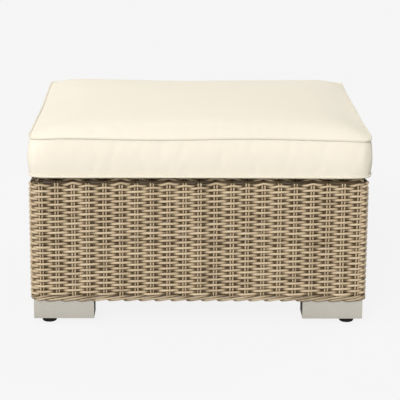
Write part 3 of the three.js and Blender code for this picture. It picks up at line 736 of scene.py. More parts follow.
@dataclass(frozen=True)
class SkinSurface:
    """Middle surface of the woven skin on one side of the base.

    It runs up the side, over a rounded shoulder and onto the deck, and bends round both corners of
    the frame. A place on it is the distance along the side from its middle, the distance up the
    profile, and the lift out of the surface.
    """

    side: Side
    core: float  # middle of the base to the skin's inner face
    corner: float
    depth: float  # inner face to the middle surface
    top: float  # level where the shoulder starts

    @property
    def straight(self) -> float:
        """Half the straight part of the side."""
        return self.core - self.corner

    @property
    def reach(self) -> float:
        """Half the side's length on the middle surface, to the 45 degree line of its corners."""
        return self.straight + (self.corner + self.depth) * math.pi / 4

    @property
    def shoulder(self) -> float:
        """Length of the shoulder's quarter circle."""
        return self.depth * math.pi / 2

    def place(self, along: Array, up: Array, lift: Array) -> tuple[Array, Array]:
        """Points and outward directions.

        With a the angle climbed on the shoulder and f the angle turned at a corner, the outline's
        distance is corner + (depth + lift) cos a, less what lies on the deck. A point is the straight
        part's end plus that distance times (sin f, -cos f), at the height (depth + lift) sin a above
        the shoulder's start.

        Args:
            along: distance along the side.
            up: distance up the profile, equal to the level below the shoulder.
            lift: distance outwards.

        Returns:
            Points and unit normals, with a last axis of 3.
        """
        along, up, lift = np.broadcast_arrays(along, up, lift)
        climbed = np.clip((up - self.top) / self.depth, 0.0, math.pi / 2)
        inward = np.clip(up - self.top - self.shoulder, 0.0, None)
        turned = np.clip((np.abs(along) - self.straight) / (self.corner + self.depth), 0.0, math.pi / 4)
        hand = np.sign(along)
        distance = self.corner + (self.depth + lift) * np.cos(climbed) - inward
        x = hand * (np.minimum(np.abs(along), self.straight) + distance * np.sin(turned))
        y = -(self.straight + distance * np.cos(turned))
        z = np.minimum(up, self.top) + (self.depth + lift) * np.sin(climbed)
        flat = np.cos(climbed)
        normals = [hand * np.sin(turned) * flat, -np.cos(turned) * flat, np.sin(climbed)]
        points = np.stack([x, y, z], axis=-1)
        return self.side.turned(points), self.side.turned(np.stack(normals, axis=-1))


@dataclass(frozen=True)
class StakePlan:
    """Where the upright stakes stand on a side, in pairs, with a corner stake at each end."""

    pairs: int = 21
    outer: float = 0.327  # middle of the side to its outermost pair
    shift: float = 0.0025  # how far the pairs stand to the right of an even spacing
    spread: float = 0.0056  # distance between the two stakes of a pair
    radius: float = 0.0018
    unevenness: float = 0.0016  # how far a pair stands off its even place
    # how far a stake is pushed back where a row passes over it, and springs forward between
    push: float = 0.0007
    seed: int = 40

    @property
    def spans(self) -> int:
        """Pitches of a side, from corner to corner."""
        return self.pairs + 1

    def places(self, reach: float) -> Array:
        """Distances of all stakes along the side, corner to corner."""
        strays = np.random.default_rng(self.seed).uniform(-self.unevenness, self.unevenness, self.pairs)
        even = np.linspace(-self.outer, self.outer, self.pairs)
        return np.concatenate([[-reach], even + self.shift + strays, [reach]])

    def stations(self, reach: float, in_a_pitch: int) -> tuple[Array, Array]:
        """A row's stations, in pitches from the first stake and as distances along the side."""
        steps = np.linspace(0, self.spans, self.spans * in_a_pitch + 1)
        return steps, np.interp(steps, np.arange(self.spans + 1), self.places(reach))

    def phases(self) -> Array:
        """Row, of every three, that passes over each stake; the pattern skips a step at the left corner."""
        steps = np.arange(self.pairs + 2)
        steps[0] = -1
        return steps % 3

    def pushed(self, rows: Array) -> Array:
        """Lift of a stake at a place counted in rows from one that passes over it."""
        return -self.push * np.cos(FULL_TURN * rows / 3)

    def single_places(self, reach: float) -> tuple[Array, Array]:
        """Every stake of its own: distance along the side, and number of its pair."""
        pairs = self.places(reach)
        half = self.spread / 2
        numbers = np.concatenate([np.arange(1, len(pairs)), np.arange(len(pairs) - 1)])
        places = np.concatenate([pairs[1:] - half, pairs[:-1] + half])
        order = np.argsort(places)
        return places[order], numbers[order]


@dataclass(frozen=True)
class Twill:
    """The weave: each row passes over one pair of stakes and behind the next two."""

    # radius of a strand behind the stakes, where it is pressed flat against its neighbours
    radius: float = 0.00292
    squeeze: float = 0.00062  # how much thinner it is where it lies on top
    swing: float = 0.0038  # how far it swings in front of and behind the middle surface
    slack: float = 0.35  # how much deeper it hangs between two pairs that it passes behind
    tilt: float = 0.00105  # how much a float climbs from one pair to the next
    sag: float = 0.0013  # how much lower a strand lies behind a pair than on top
    corner_rise: float = 0.0009  # how much rows climb towards a corner
    arch: float = 0.0013  # how much the first rows arch up over each pair
    arched_rows: float = 2.4  # over how many rows the arches fade
    wander: float = 0.0002  # random unevenness of the rows
    behind_shade: float = 0.62  # painted shade: how much darker a strand is drawn where it lies behind
    behind_shade_start: float = 0.35  # depth at which that painted shade starts
    behind_shade_span: float = 1.2  # depth over which it grows to the full

    def over(self, rows: Array, phases: Array, shift: int) -> Array:
        """Whether each row passes over each stake pair: when row - phase + shift divides by three."""
        return ((rows[:, None] - phases[None, :] + shift) % 3 == 0).astype(float)

    def painted_behind_shade(self, depth: Array) -> Array:
        """Painted shade: how much darker a strand is drawn at a depth."""
        return self.behind_shade * smooth_step((self.behind_shade_start - depth) / self.behind_shade_span)

    def swings(self, over: Array, steps: Array) -> tuple[Array, Array]:
        """Depth and rise of the rows at places between the stakes.

        Depth eases by half a cosine wave between 1 over a stake and -1 behind it, and sags by slack
        times sin^2(pi s) between two stakes that the row passes behind. Rise is a smooth curve through
        its values at the stakes: none on top, tilt at the next stake to the right and -tilt at the one
        before, so that a float is straight and its ends slip behind its neighbours.

        Args:
            over: 1 where a row passes over a stake and 0 where it passes behind, row under row.
            steps: places in pitches from the first stake.

        Returns:
            Depth from about -1.35 to 1, and rise in metres, by row and place.
        """
        left = np.clip(steps.astype(int), 0, over.shape[1] - 2)
        share = steps - left
        here = over[:, left]
        after = over[:, left + 1]
        depth = 2 * (here * (1 - cosine_step(share)) + after * cosine_step(share)) - 1
        depth = depth - self.slack * (1 - here) * (1 - after) * np.sin(math.pi * share) ** 2
        row_above = np.roll(over, 1, axis=0)
        row_below = np.roll(over, -1, axis=0)
        row_above[0] = over[2]
        row_below[-1] = over[-3]
        return depth, through(self.tilt * (row_below - row_above), steps)


@dataclass(frozen=True)
class Tones:
    """Shades of one kind of strand."""

    level: float
    between: float  # how far whole strands differ from it either way
    within: float  # how far the shade drifts along a strand

    def draw(self, random: np.random.Generator, count: int, knots: int, places: Array) -> Array:
        """Shades of some strands.

        Args:
            random: the seeded source.
            count: how many strands.
            knots: random values along each.
            places: the stations, from 0 to knots - 1.

        Returns:
            Array of strands by stations.
        """
        tones = self.level + self.between * random.uniform(-1, 1, (count, 1))
        return tones + self.within * smooth_noise(random, count, knots, places)


@dataclass(frozen=True)
class BorderPlan:
    """Sizes of the border: three strands, each in front of two stakes and behind the third."""

    strands: int = 3  # strands side by side, which is also the pattern's length in pitches
    radius: float = 0.0022
    height: float = 0.0158
    stand: float = -0.0024  # how far it ends above the legs' tops; in front of them it hangs lower
    steps: int = 8  # stations of a strand in one pitch of the stakes
    sides: int = 10
    front: float = 0.0036  # how far it stands out where it shows
    back: float = 0.0032  # how far it lies back behind a stake
    drop: float = 0.25  # half the stretch in which it drops from the top to the foot, in pitches
    ease: float = 0.55  # stretch in which it comes out from behind a stake, in pitches
    overlap: float = 0.0004  # how far it climbs past the border's height, less its radius
    lap: float = 0.0016  # how much further in its upper end lies than its lower end
    tuck: float = 0.0045  # how far the lower edge draws in at the corners
    tuck_lift: float = 0.0018  # how far it rises there
    tuck_from: float = 0.014  # distance before a corner where both start
    tuck_span: float = 0.013  # distance over which they ease in
    tuck_above: float = 0.003  # how far above the border's middle they end
    level: float = 0.34
    drift: float = 0.12  # how far its shade drifts along it
    behind_stake_shade: float = 0.4  # painted shade: how much darker it is drawn behind a stake
    under: float = 0.25  # painted shade: how much darker its upper end is drawn, where it lies further in

    def climb(self, phase: Array) -> Array:
        """A steady climb and a quick drop.

        Args:
            phase: place in the pattern, in pitches.

        Returns:
            Share of the border's height there.
        """
        length = self.strands
        front = np.clip((phase - self.drop) / (length - 2 * self.drop), 0, 1)
        started = np.where(phase > length / 2, phase - length + self.drop, phase + self.drop)
        dropped = cosine_step(np.clip(started / (2 * self.drop), 0, 1))
        behind = (phase > length - self.drop) | (phase < self.drop)
        return np.where(behind, 1 - dropped, front)


@dataclass
class WovenBase:
    """The woven resin: four sides, their borders and the deck."""

    wardrobe: Wardrobe
    stakes: StakePlan = StakePlan()
    twill: Twill = Twill()
    border: BorderPlan = BorderPlan()
    plan_corner: float = 0.0035  # plan radius of the skin's inner face
    rows: int = 60
    row_steps: int = 6  # stations of a row in one pitch of the stakes
    row_sides: int = 8
    row_tones: Tones = Tones(level=0.54, between=0.09, within=0.14)
    row_gap: float = 0.3  # height of the lowest row's middle over the border, in strand radii
    bare: float = 0.0004  # how far up the shoulder the highest row lies
    corner_depth: float = 0.22  # depth that a row tends to at a corner
    corner_calm: float = 0.42  # share of its own depth that it loses there
    top_tuck: float = 0.0045  # how far the rows draw in round the base's upper corners
    top_tuck_below: float = 0.012  # distance below the highest row where that starts
    top_tuck_span: float = 0.016  # distance over which it eases in, upwards and along
    shaded_rows: int = 3  # further rows over the shoulder, painted darker as shadow under the cushion
    shade: float = 0.85  # painted shadow: how much darker they are drawn, and the stakes over the shoulder
    shaded_swing: float = 0.4  # share of the swing that they keep
    shaded_back: float = 0.8  # how far back they lie, as a share of the swing
    shaded_arch: float = 0.8
    stake_steps: int = 92
    stake_sides: int = 6
    stake_tones: Tones = Tones(level=0.47, between=0.10, within=0.12)
    stake_foot: float = 0.35  # share of the border's height at which it starts
    stake_end: float = 0.005  # how far it runs onto the deck
    stake_emerging: float = 0.001  # distance below the border's top where it starts to come out
    stake_ease: float = 0.003  # distance over which it comes out, and over which its painted shadow grows at the shoulder
    stake_foot_back: float = 0.0012  # how far back its foot lies
    corner_stake_back: float = 0.0048  # how far back the corner's own pair stands, behind all the rows
    stake_sway: float = 0.00035  # how far it wanders sideways
    stake_sway_span: float = 0.02  # distance below the shoulder over which the wandering stops
    stake_knots: int = 14
    deck_steps: int = 3
    deck_sides: int = 6
    deck_tones: Tones = Tones(level=0.5, between=0.1, within=0.12)
    deck_dip: float = 0.004  # how far its ends dip under the shoulders
    deck_dip_span: float = 0.008
    deck_stake_steps: int = 104
    deck_stake_sides: int = 5
    deck_stake_tone: float = 0.55
    deck_stake_dip: float = 0.003
    deck_stake_dip_span: float = 0.006
    seed: int = 7

    def __post_init__(self) -> None:
        """Reads the sizes that the frame gives."""
        side_low, side_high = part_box("woven_side_front")
        deck_low, deck_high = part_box("woven_deck")
        border_low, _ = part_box("woven_border_front")
        self.thickness = deck_high.z - deck_low.z
        self.core = -side_low.y - self.thickness
        self.top = deck_low.z
        self.deck_top = deck_high.z
        self.border_low = border_low.z + self.border.stand
        self.border_high = self.border_low + self.border.height
        self.depth = self.thickness - self.twill.swing - self.twill.radius + self.twill.squeeze
        self.random = np.random.default_rng(self.seed)

    def surface(self, side: Side) -> SkinSurface:
        """The middle surface of a side."""
        return SkinSurface(side, self.core, self.plan_corner, self.depth, self.top)

    @property
    def first_row(self) -> float:
        """Highest row, by the shoulder's start."""
        return self.top + self.bare

    @property
    def pitch(self) -> float:
        """Distance between rows."""
        lowest = self.border_high + self.row_gap * self.twill.radius
        return (self.first_row - lowest) / (self.rows - 1)

    def spiral(self, side: Side, steps: Array) -> Array:
        """Drop of the one long strand, a row in each round of the base."""
        spans = self.stakes.spans
        return -self.pitch * (side.value * spans + steps) / (len(Side) * spans)

    def row_strands(self, side: Side) -> Strands:
        """The rows of one side.

        Args:
            side: which side.

        Returns:
            Its strands, from one corner's 45 degree line to the other.
        """
        surface = self.surface(side)
        spans = self.stakes.spans
        steps, along = self.stakes.stations(surface.reach, self.row_steps)
        rows = np.arange(-self.shaded_rows, self.rows)
        shaded = (rows < 0)[:, None]
        depth, rise = self.twill.swings(self.twill.over(rows, self.stakes.phases(), side.value), steps)
        inside = smooth_step(np.minimum(steps, spans - steps))
        outermost = smooth_step(1 - np.minimum(steps, spans - steps))
        depth = depth + outermost * (self.corner_depth - self.corner_calm * depth)
        corner = past(np.abs(along), self.stakes.outer, surface.reach - self.stakes.outer)
        wander = smooth_noise(self.random, len(rows), spans + 1, steps) * inside
        fading = hump(rows, self.twill.arched_rows) * np.where(rows < 0, self.shaded_arch, 1.0)
        arch = fading[:, None] * np.cos(FULL_TURN * steps)[None, :] * inside
        up = (
            self.first_row
            - self.pitch * rows[:, None]
            + self.spiral(side, steps)[None, :]
            + rise * inside
            - self.twill.sag * (1 - depth) / 2
            + self.twill.corner_rise * corner[None, :]
            + self.twill.arch * arch
            + self.twill.wander * wander
        )
        lift = self.twill.swing * np.where(shaded, self.shaded_swing * depth - self.shaded_back, depth)
        near_top = past(up, self.first_row - self.top_tuck_below, self.top_tuck_span)
        near_corner = past(np.abs(along), surface.reach - self.top_tuck_span, self.top_tuck_span)
        lift = lift - self.top_tuck * near_top * near_corner
        paths, normals = surface.place(along[None, :], up, lift)
        radius = self.twill.radius - self.twill.squeeze * np.clip(depth, 0, 1) ** 2
        tones = self.row_tones.draw(self.random, len(rows), spans + 1, steps)
        # Painted shadow on the rows under the cushion, and painted shade where a row lies behind.
        tones = tones - np.where(shaded, self.shade, self.twill.painted_behind_shade(depth))
        return Strands(paths, normals, radius, tones, self.row_sides)

    def stake_strands(self, side: Side) -> Strands:
        """The stakes of one side, from inside the border over the shoulder onto the deck.

        Args:
            side: which side.

        Returns:
            Its stakes.
        """
        surface = self.surface(side)
        places, numbers = self.stakes.single_places(surface.reach)
        phases = self.stakes.phases()[numbers]
        low = self.border_low + self.stake_foot * self.border.height
        high = surface.top + surface.shoulder + self.stake_end
        up = np.linspace(low, high, self.stake_steps)
        row = (self.first_row + self.spiral(side, numbers[:, None]) - up[None, :]) / self.pitch
        push = self.stakes.pushed(row - phases[:, None] + side.value)
        bare = past(up, self.border_high - self.stake_emerging, self.stake_ease)
        at_corner = (numbers == 0) | (numbers == self.stakes.spans)
        lift = push * bare - self.stake_foot_back * (1 - bare)
        lift = lift - self.corner_stake_back * at_corner[:, None]
        knots = np.linspace(0, self.stake_knots - 1.01, self.stake_steps)
        sway = self.stake_sway * smooth_noise(self.random, len(places), self.stake_knots, knots)
        lean = sway * smooth_step((surface.top - up) / self.stake_sway_span)
        paths, normals = surface.place(places[:, None] + lean, up[None, :], lift)
        tones = self.stake_tones.draw(self.random, len(places), self.stake_knots, knots)
        # Painted shadow on the stakes over the shoulder, under the cushion.
        tones = tones - self.shade * past(up, self.first_row, self.stake_ease)
        return Strands(paths, normals, self.stakes.radius, tones, self.stake_sides)

    def border_strands(self, side: Side) -> Strands:
        """The strands of one side's border.

        Args:
            side: which side.

        Returns:
            Its strands.
        """
        plan = self.border
        surface = self.surface(side)
        spans = self.stakes.spans
        steps, along = self.stakes.stations(surface.reach, plan.steps)
        strands = np.arange(plan.strands)
        phase = (steps[None, :] - strands[:, None] + side.value * spans) % plan.strands
        share = plan.climb(phase)
        middle = (self.border_low + self.border_high) / 2
        climb = plan.height / 2 - plan.radius + plan.overlap
        up = middle + climb * (2 * share - 1)
        out = cosine_step(np.clip(np.minimum(phase, plan.strands - phase) / plan.ease, 0, 1))
        at_corner = past(np.abs(along), surface.reach - plan.tuck_from, plan.tuck_span)
        low = at_corner * smooth_step((middle + plan.tuck_above - up) / (climb + plan.tuck_above))
        lift = -plan.back + (plan.front + plan.back) * out - plan.lap * share - plan.tuck * low
        paths, normals = surface.place(along[None, :], up + plan.tuck_lift * low, lift)
        drift = smooth_noise(self.random, plan.strands, spans + 1, steps)
        # Painted shade behind the stakes and at the upper end.
        tones = plan.level + plan.drift * drift - plan.behind_stake_shade * (1 - out)
        tones = tones - plan.under * smooth_step((share - 0.5) * 2)
        return Strands(paths, normals, plan.radius, tones, plan.sides)

    def deck_strands(self) -> tuple[Strands, Strands]:
        """Rows and stakes of the deck.

        The rows run left to right over stake pairs that run front to back, in the sides' pattern.
        Both dip at their ends, under the shoulders.

        Returns:
            The rows and the stakes.
        """
        level = self.deck_top - self.thickness + self.depth
        edge = self.core - self.pitch / 2
        count = 2 * round(edge / self.pitch) + 1
        steps, x = self.stakes.stations(self.core, self.deck_steps)
        depth, rise = self.twill.swings(self.twill.over(np.arange(count), self.stakes.phases(), 0), steps)
        y = np.linspace(-edge, edge, count)[:, None] - rise
        dip = self.deck_dip * past(np.abs(x), self.core - self.deck_dip_span, self.deck_dip_span)
        z = level + self.twill.swing * depth - dip[None, :]
        paths = np.stack([np.broadcast_to(x, y.shape), y, z], axis=-1)
        tones = self.deck_tones.draw(self.random, count, self.stakes.spans + 1, steps)
        # Painted shade where the deck's rows lie behind.
        tones = tones - self.twill.painted_behind_shade(depth)
        up = np.array([0.0, 0.0, 1.0])
        normals = np.broadcast_to(up, paths.shape)
        weavers = Strands(paths, normals, self.twill.radius, tones, self.deck_sides)
        places, numbers = self.stakes.single_places(self.core)
        inner = np.abs(places) < self.core - self.stakes.spread
        phases = self.stakes.phases()[numbers[inner]]
        stations = np.linspace(-self.core, self.core, self.deck_stake_steps)
        row = (stations[None, :] + edge) / (2 * edge) * (count - 1)
        start = self.core - self.deck_stake_dip_span
        fall = self.deck_stake_dip * past(np.abs(stations), start, self.deck_stake_dip_span)
        heights = level + self.stakes.pushed(row - phases[:, None]) - fall[None, :]
        across, ahead = np.broadcast_arrays(places[inner][:, None], stations[None, :])
        lines = np.stack([across, ahead, heights], axis=-1)
        upright = np.broadcast_to(up, lines.shape)
        radius = self.stakes.radius
        return weavers, Strands(lines, upright, radius, self.deck_stake_tone, self.deck_stake_sides)

    def piece(self, name: str, node: str, *kinds: Strands) -> None:
        """Makes one woven piece.

        Args:
            name: its name.
            node: the CAD node that it stands for.
            kinds: its strands.
        """
        sheet = MeshSheet()
        for strands in kinds:
            strands.add_to(sheet)
        self.wardrobe.dress(sheet.build(name), "tan_resin_strand", "base", node)

    def build(self) -> None:
        """Makes the nine woven pieces."""
        for side in Side:
            name = side.name.lower()
            rows = self.row_strands(side)
            self.piece("strand_weave_" + name, "woven_side_" + name, rows, self.stake_strands(side))
            self.piece("rope_border_" + name, "woven_border_" + name, self.border_strands(side))
        self.piece("strand_deck", "woven_deck", *self.deck_strands())


def softened_copy(node: str, name: str, width: float, segments: int = 2) -> Piece:
    """Copy of a CAD node with its edges rounded.

    Args:
        node: the CAD node.
        name: the new piece's name.
        width: how far from the edge the rounding starts.
        segments: faces across the rounding.

    Returns:
        The new object, whose loose triangles are joined into flat faces first.
    """
    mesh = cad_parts[node].data.copy()
    mesh.name = name
    work = bmesh.new()
    work.from_mesh(mesh)
    bmesh.ops.remove_doubles(work, verts=work.verts, dist=CAD_WELD_DISTANCE)
    bmesh.ops.dissolve_limit(work, angle_limit=FLAT_ANGLE, verts=work.verts, edges=work.edges)
    for face in work.faces:
        face.smooth = True
    work.to_mesh(mesh)
    work.free()
    piece = linked(name, mesh)
    bevel = piece.modifiers.new("rounding", "BEVEL")
    bevel.width = width
    bevel.segments = segments
    bevel.limit_method = "ANGLE"
    bevel.angle_limit = EDGE_ANGLE
    bevel.harden_normals = True
    return piece


def revolved(profile: Array, centre: tuple[float, float], columns: int, ripple: Array) -> MeshSheet:
    """Surface of revolution about an upright axis.

    A point is centre + radius (1 - ripple) (cos t, sin t) at the profile's height.

    Args:
        profile: radius and height of each row, from one pole to the other.
        centre: the axis, in plan.
        columns: points round the axis.
        ripple: share by which each point is drawn in, by row and column.

    Returns:
        A sheet that holds the surface.
    """
    angles = turn_angles(columns)
    radius = profile[:, :1] * (1 - np.broadcast_to(ripple, (len(profile), columns)))
    x = centre[0] + radius * np.cos(angles)[None, :]
    y = centre[1] + radius * np.sin(angles)[None, :]
    z = np.broadcast_to(profile[:, 1:], x.shape)
    sheet = MeshSheet()
    lengthwise = travelled(profile)
    around = np.linspace(0, FULL_TURN * float(profile[:, 0].max()), columns + 1)
    faces = [(grid_quads(len(profile), columns, wrap_columns=True), grid_coordinates(lengthwise, around))]
    sheet.add(np.stack([x, y, z], axis=-1), faces)
    return sheet


@dataclass
class LegSet:
    """Painted corner legs with their plugs, bolts and levelling glides."""

    wardrobe: Wardrobe
    tube_rounding: float = 0.0009
    plug_rounding: float = 0.0014
    bolt_rounding: float = 0.0004
    glide_columns: int = 120  # points round a glide
    arc_points: int = 7  # points of each of its rounded edges
    sole_width: float = 0.0035  # width of the sole's rounded edge
    sole_height: float = 0.005
    rim_rounding: float = 0.0015
    rim_low: float = 0.006  # where the rim's straight part starts, over the floor
    rim_high: float = 0.0025
    flutes: int = 20
    flute_depth: float = 0.0006
    flute_start: float = 0.003
    flute_ease: float = 0.003  # height over which they deepen
    play: float = 0.0003  # between the stud and its socket
    thread_pitch: float = 0.00125
    thread_depth: float = 0.00065
    thread_columns: int = 24  # points round a stud
    rows_in_a_turn: int = 4
    chamfer: float = 0.0012  # of the stud's upper end

    @staticmethod
    def axis(low: Vector, high: Vector) -> tuple[float, float]:
        """Middle of a box, in plan."""
        return (low.x + high.x) / 2, (low.y + high.y) / 2

    def glide(self, corner: str) -> None:
        """Moulded pad: a rounded sole, a fluted grip rim and a socket for the stud.

        Args:
            corner: which corner's.
        """
        low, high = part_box("glide_pad_" + corner)
        stud_low, stud_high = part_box("glide_stud_" + corner)
        rim = (high.x - low.x) / 2
        socket = (stud_high.x - stud_low.x) / 2 + self.play
        floor = stud_low.z - self.play
        sole = rim - self.sole_width
        arc = np.linspace(0, math.pi / 2, self.arc_points)
        lower = [sole + self.sole_width * np.sin(arc), self.sole_height * (1 - np.cos(arc))]
        upper = [
            rim - self.rim_rounding * (1 - np.cos(arc)),
            high.z - self.rim_rounding * (1 - np.sin(arc)),
        ]
        levels = np.linspace(self.rim_low, high.z - self.rim_high, 4)
        straight = [np.full_like(levels, rim), levels]
        outer = np.concatenate([np.stack(part, axis=1) for part in (lower, straight, upper)])
        profile = np.concatenate([[[0.0, 0.0]], outer, [[socket, high.z], [socket, floor], [0.0, floor]]])
        profile[:, 1] += low.z
        wave = np.clip(np.cos(self.flutes * turn_angles(self.glide_columns)), 0, 1) ** 2
        share = past(profile[:, 1], self.flute_start, self.flute_ease) * (profile[:, 0] > sole)
        ripple = self.flute_depth / rim * share[:, None] * wave[None, :]
        sheet = revolved(profile, self.axis(low, high), self.glide_columns, ripple)
        piece = sheet.build("moulded_glide_" + corner, weld=True)
        self.wardrobe.dress(piece, "moulded_black_plastic", "glide_" + corner, "glide_pad_" + corner)

    def stud(self, corner: str) -> None:
        """Threaded stud: the radius falls from the crest by the thread's depth in a triangle wave.

        The wave's phase is height / pitch - angle / full turn, which makes the thread right-handed.

        Args:
            corner: which corner's.
        """
        low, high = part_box("glide_stud_" + corner)
        crest = (high.x - low.x) / 2
        rows = round((high.z - low.z) / self.thread_pitch * self.rows_in_a_turn) + 1
        heights = np.linspace(low.z, high.z, rows)
        angles = np.arange(self.thread_columns) / self.thread_columns
        phase = (heights[:, None] / self.thread_pitch - angles[None, :]) % 1.0
        depth = self.thread_depth * np.abs(2 * phase - 1)
        chamfer = np.clip(self.chamfer - (high.z - heights), 0, None)[:, None]
        ripple = np.maximum(depth, chamfer) / crest
        profile = np.stack([np.full(rows, crest), heights], axis=1)
        profile = np.concatenate([[[0.0, low.z]], profile, [[0.0, high.z]]])
        ripple = np.concatenate([ripple[:1], ripple, ripple[-1:]])
        sheet = revolved(profile, self.axis(low, high), self.thread_columns, ripple)
        piece = sheet.build("threaded_stud_" + corner, weld=True)
        self.wardrobe.dress(piece, "zinc_plated_steel", "stud_" + corner, "glide_stud_" + corner)

    def build(self) -> None:
        """Makes all pieces of the four legs."""
        for corner in ("front_left", "front_right", "back_right", "back_left"):
            leg = softened_copy("leg_" + corner, "mitred_leg_" + corner, self.tube_rounding)
            self.wardrobe.dress(leg, "warm_grey_powder_coat", "base", "leg_" + corner)
            for arm in ("a", "b"):
                node = f"leg_plug_{arm}_{corner}"
                plug = softened_copy(node, f"end_plug_{arm}_{corner}", self.plug_rounding)
                self.wardrobe.dress(plug, "moulded_black_plastic", "base", node)
            bolt = softened_copy("leg_bolt_" + corner, "hex_bolt_" + corner, self.bolt_rounding)
            self.wardrobe.dress(bolt, "zinc_plated_steel", "base", "leg_bolt_" + corner)
            self.glide(corner)
            self.stud(corner)


class FrameTubes:
    """The aluminium frame inside the weave: CAD nodes that stay as they are."""

    def __init__(self, wardrobe: Wardrobe) -> None:
        """Takes the finishes."""
        self.wardrobe = wardrobe

    def build(self) -> None:
        """Paints the rails, posts and slats."""
        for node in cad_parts:
            if "_rail_" in node or node.startswith(("corner_post_", "deck_slat_")):
                self.wardrobe.paint(node, "mill_aluminium")


@dataclass
class Cushion:
    """The loose cushion: cover, piping and zip.

    The cover is one closed body on a grid of its own: a top and a bottom of square rings, and a band
    between them. The seams stay where they are sewn, and a cloth simulation blows the rest up. Values
    for the four corners run anticlockwise from the front left.
    """

    wardrobe: Wardrobe
    rings: int = 40  # rings of the top and the bottom, from the middle to the seam
    band_rows: int = 10
    corner: float = 0.022
    lie: float = 0.0022  # how far the loose cushion lies to the right of the middle
    flare: float = 0.015  # how much wider it lies at the back than at the front, as a share
    draw: float = 0.003  # how far the front and sides pull in between the corners
    bulge: float = 0.0023  # outward bulge of the band before it is blown up
    shoulder_rise: float = 0.0130  # quick rise of the top beside its seam
    shoulder_span: float = 0.055  # distance over which the quick rise is made
    crown_rise: float = 0.0108  # slow rise to the middle
    seam_drop: float = 0.0018  # how much lower the bottom seam hangs than in the CAD model
    foot_tuck: float = 0.0060  # how far the bottom seam draws in at the corners
    # how far the top seam draws in at the four corners
    head_tucks: tuple[float, float, float, float] = (0.0055, 0.0045, 0.0, 0.0)
    tuck_span: float = 0.026  # distance along a side over which both fade
    # how far the top seam drops at the four corners
    droops: tuple[float, float, float, float] = (0.0010, 0.0042, -0.0015, -0.0020)
    droop_span: float = 0.042
    wave: float = 0.0014  # slow rise and fall of the top seam along a side
    wave_length: float = 0.392
    wave_start: float = -0.285
    piping_radius: float = 0.0023
    piping_steps: int = 720
    piping_sides: int = 12
    piping_out: float = 0.0006  # how far its middle lies outside the seam
    cap: float = 0.0055  # how far the simulation may move a point
    frames: int = 20
    sharpening: float = 0.6  # most that the plan radius shrinks inwards, as a share
    wave_turn: float = 1.9  # how far the waves shift from one side to the next, in radians
    wave_clear: float = 0.06  # distance from a corner over which they grow
    sag_reach: float = 0.05  # distance inwards over which the seam's waves fade
    underside_margin: float = 0.015  # distance inwards over which the bottom comes down to its level
    underside_play: float = 0.0002  # how far it stays above the CAD model's
    zip_clear: float = 0.02  # distance beyond the zip's ends over which its hold fades
    zip_band: float = 0.2  # half the share of the band's height that it holds
    pucker_lengths: tuple[float, ...] = (0.019, 0.027, 0.041, 0.066)  # waves of the gathers
    pucker_usual: float = 0.041  # the wave that counts once; longer ones count more
    pucker_sum: float = 3.2  # divisor that brings their sum to about 1
    pucker_top: float = 0.0008  # height of the gathers on the top
    pucker_band: float = 0.0004
    pucker_clear: float = 0.03  # distance from a corner over which they grow
    seam_width: float = 0.003  # distance from a seam over which they rise
    fold: float = 0.0009
    fold_reach: float = 0.035  # distance from a corner over which they fade
    fold_spread: float = 0.0035  # their spacing at the top seam, over a full turn
    fold_fan: float = 0.004  # how much wider it is at the bottom seam
    ripples: tuple[tuple[float, int, int], ...] = ((0.00007, 170, 2), (0.00006, 263, -1))  # of the piping
    seed: int = 11

    def __post_init__(self) -> None:
        """Reads the seams' places from the frame."""
        low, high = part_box("piping_bottom")
        top_low, top_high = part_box("piping_top")
        panel_low, panel_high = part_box("cover_bottom_panel")
        chain_low, chain_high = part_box("zip_chain")
        flat = math.cos(math.pi / 6)
        cord = (high.z - low.z) / 2
        self.half = high.y - cord * flat
        self.top_inset = high.y - top_high.y
        self.bottom_seam = (low.z + high.z) / 2 - self.seam_drop
        self.top_seam = (top_low.z + top_high.z) / 2
        self.underside = panel_low.z
        self.zip_level = (chain_low.z + chain_high.z) / 2
        self.zip_face = chain_high.y
        self.zip_half = chain_high.x
        self.random = np.random.default_rng(self.seed)

    def outline(self, side: Array, share: Array, inside: Array) -> tuple[Array, Array]:
        """Points and outward directions of the cushion's rounded square.

        Half a side is a straight h - r and an eighth of a turn of radius r. The front, left and right
        draw in by draw cos(pi s / 2), with s the share of the straight part; the back doesn't.

        Args:
            side: number of the side at each point.
            share: place along the side, from -1 at one corner's middle to 1 at the other's.
            inside: distance inside the bottom seam's line, or outside it where negative.

        Returns:
            Plan points and unit directions, with a last axis of 2.
        """
        side, share, inside = np.broadcast_arrays(side, share, inside)
        radius = self.corner - np.minimum(inside, self.corner * self.sharpening)
        straight = self.half - inside - radius
        distance = np.abs(share) * (straight + radius * math.pi / 4)
        turned = np.clip((distance - straight) / radius, 0, math.pi / 4)
        hand = np.sign(share)
        middle = np.cos(np.clip(distance / straight, 0, 1) * math.pi / 2)
        drawn = np.where(side == Side.BACK.value, 0.0, self.draw) * middle
        out = np.stack([hand * np.sin(turned), -np.cos(turned), np.zeros_like(turned)], axis=-1)
        x = hand * (np.minimum(distance, straight) + radius * np.sin(turned))
        y = -(straight + radius * np.cos(turned)) + drawn
        points = np.stack([x, y, np.zeros_like(x)], axis=-1)
        placed = np.zeros_like(points)
        facing = np.zeros_like(out)
        for one in Side:
            mask = side == one.value
            placed[mask] = one.turned(points[mask])
            facing[mask] = one.turned(out[mask])
        return placed[..., :2], facing[..., :2]

    @staticmethod
    def at_corners(values: tuple[float, ...], side: Array, share: Array) -> Array:
        """The value of the corner nearest to each place."""
        return np.asarray(values)[(side + (share > 0)) % len(Side)]

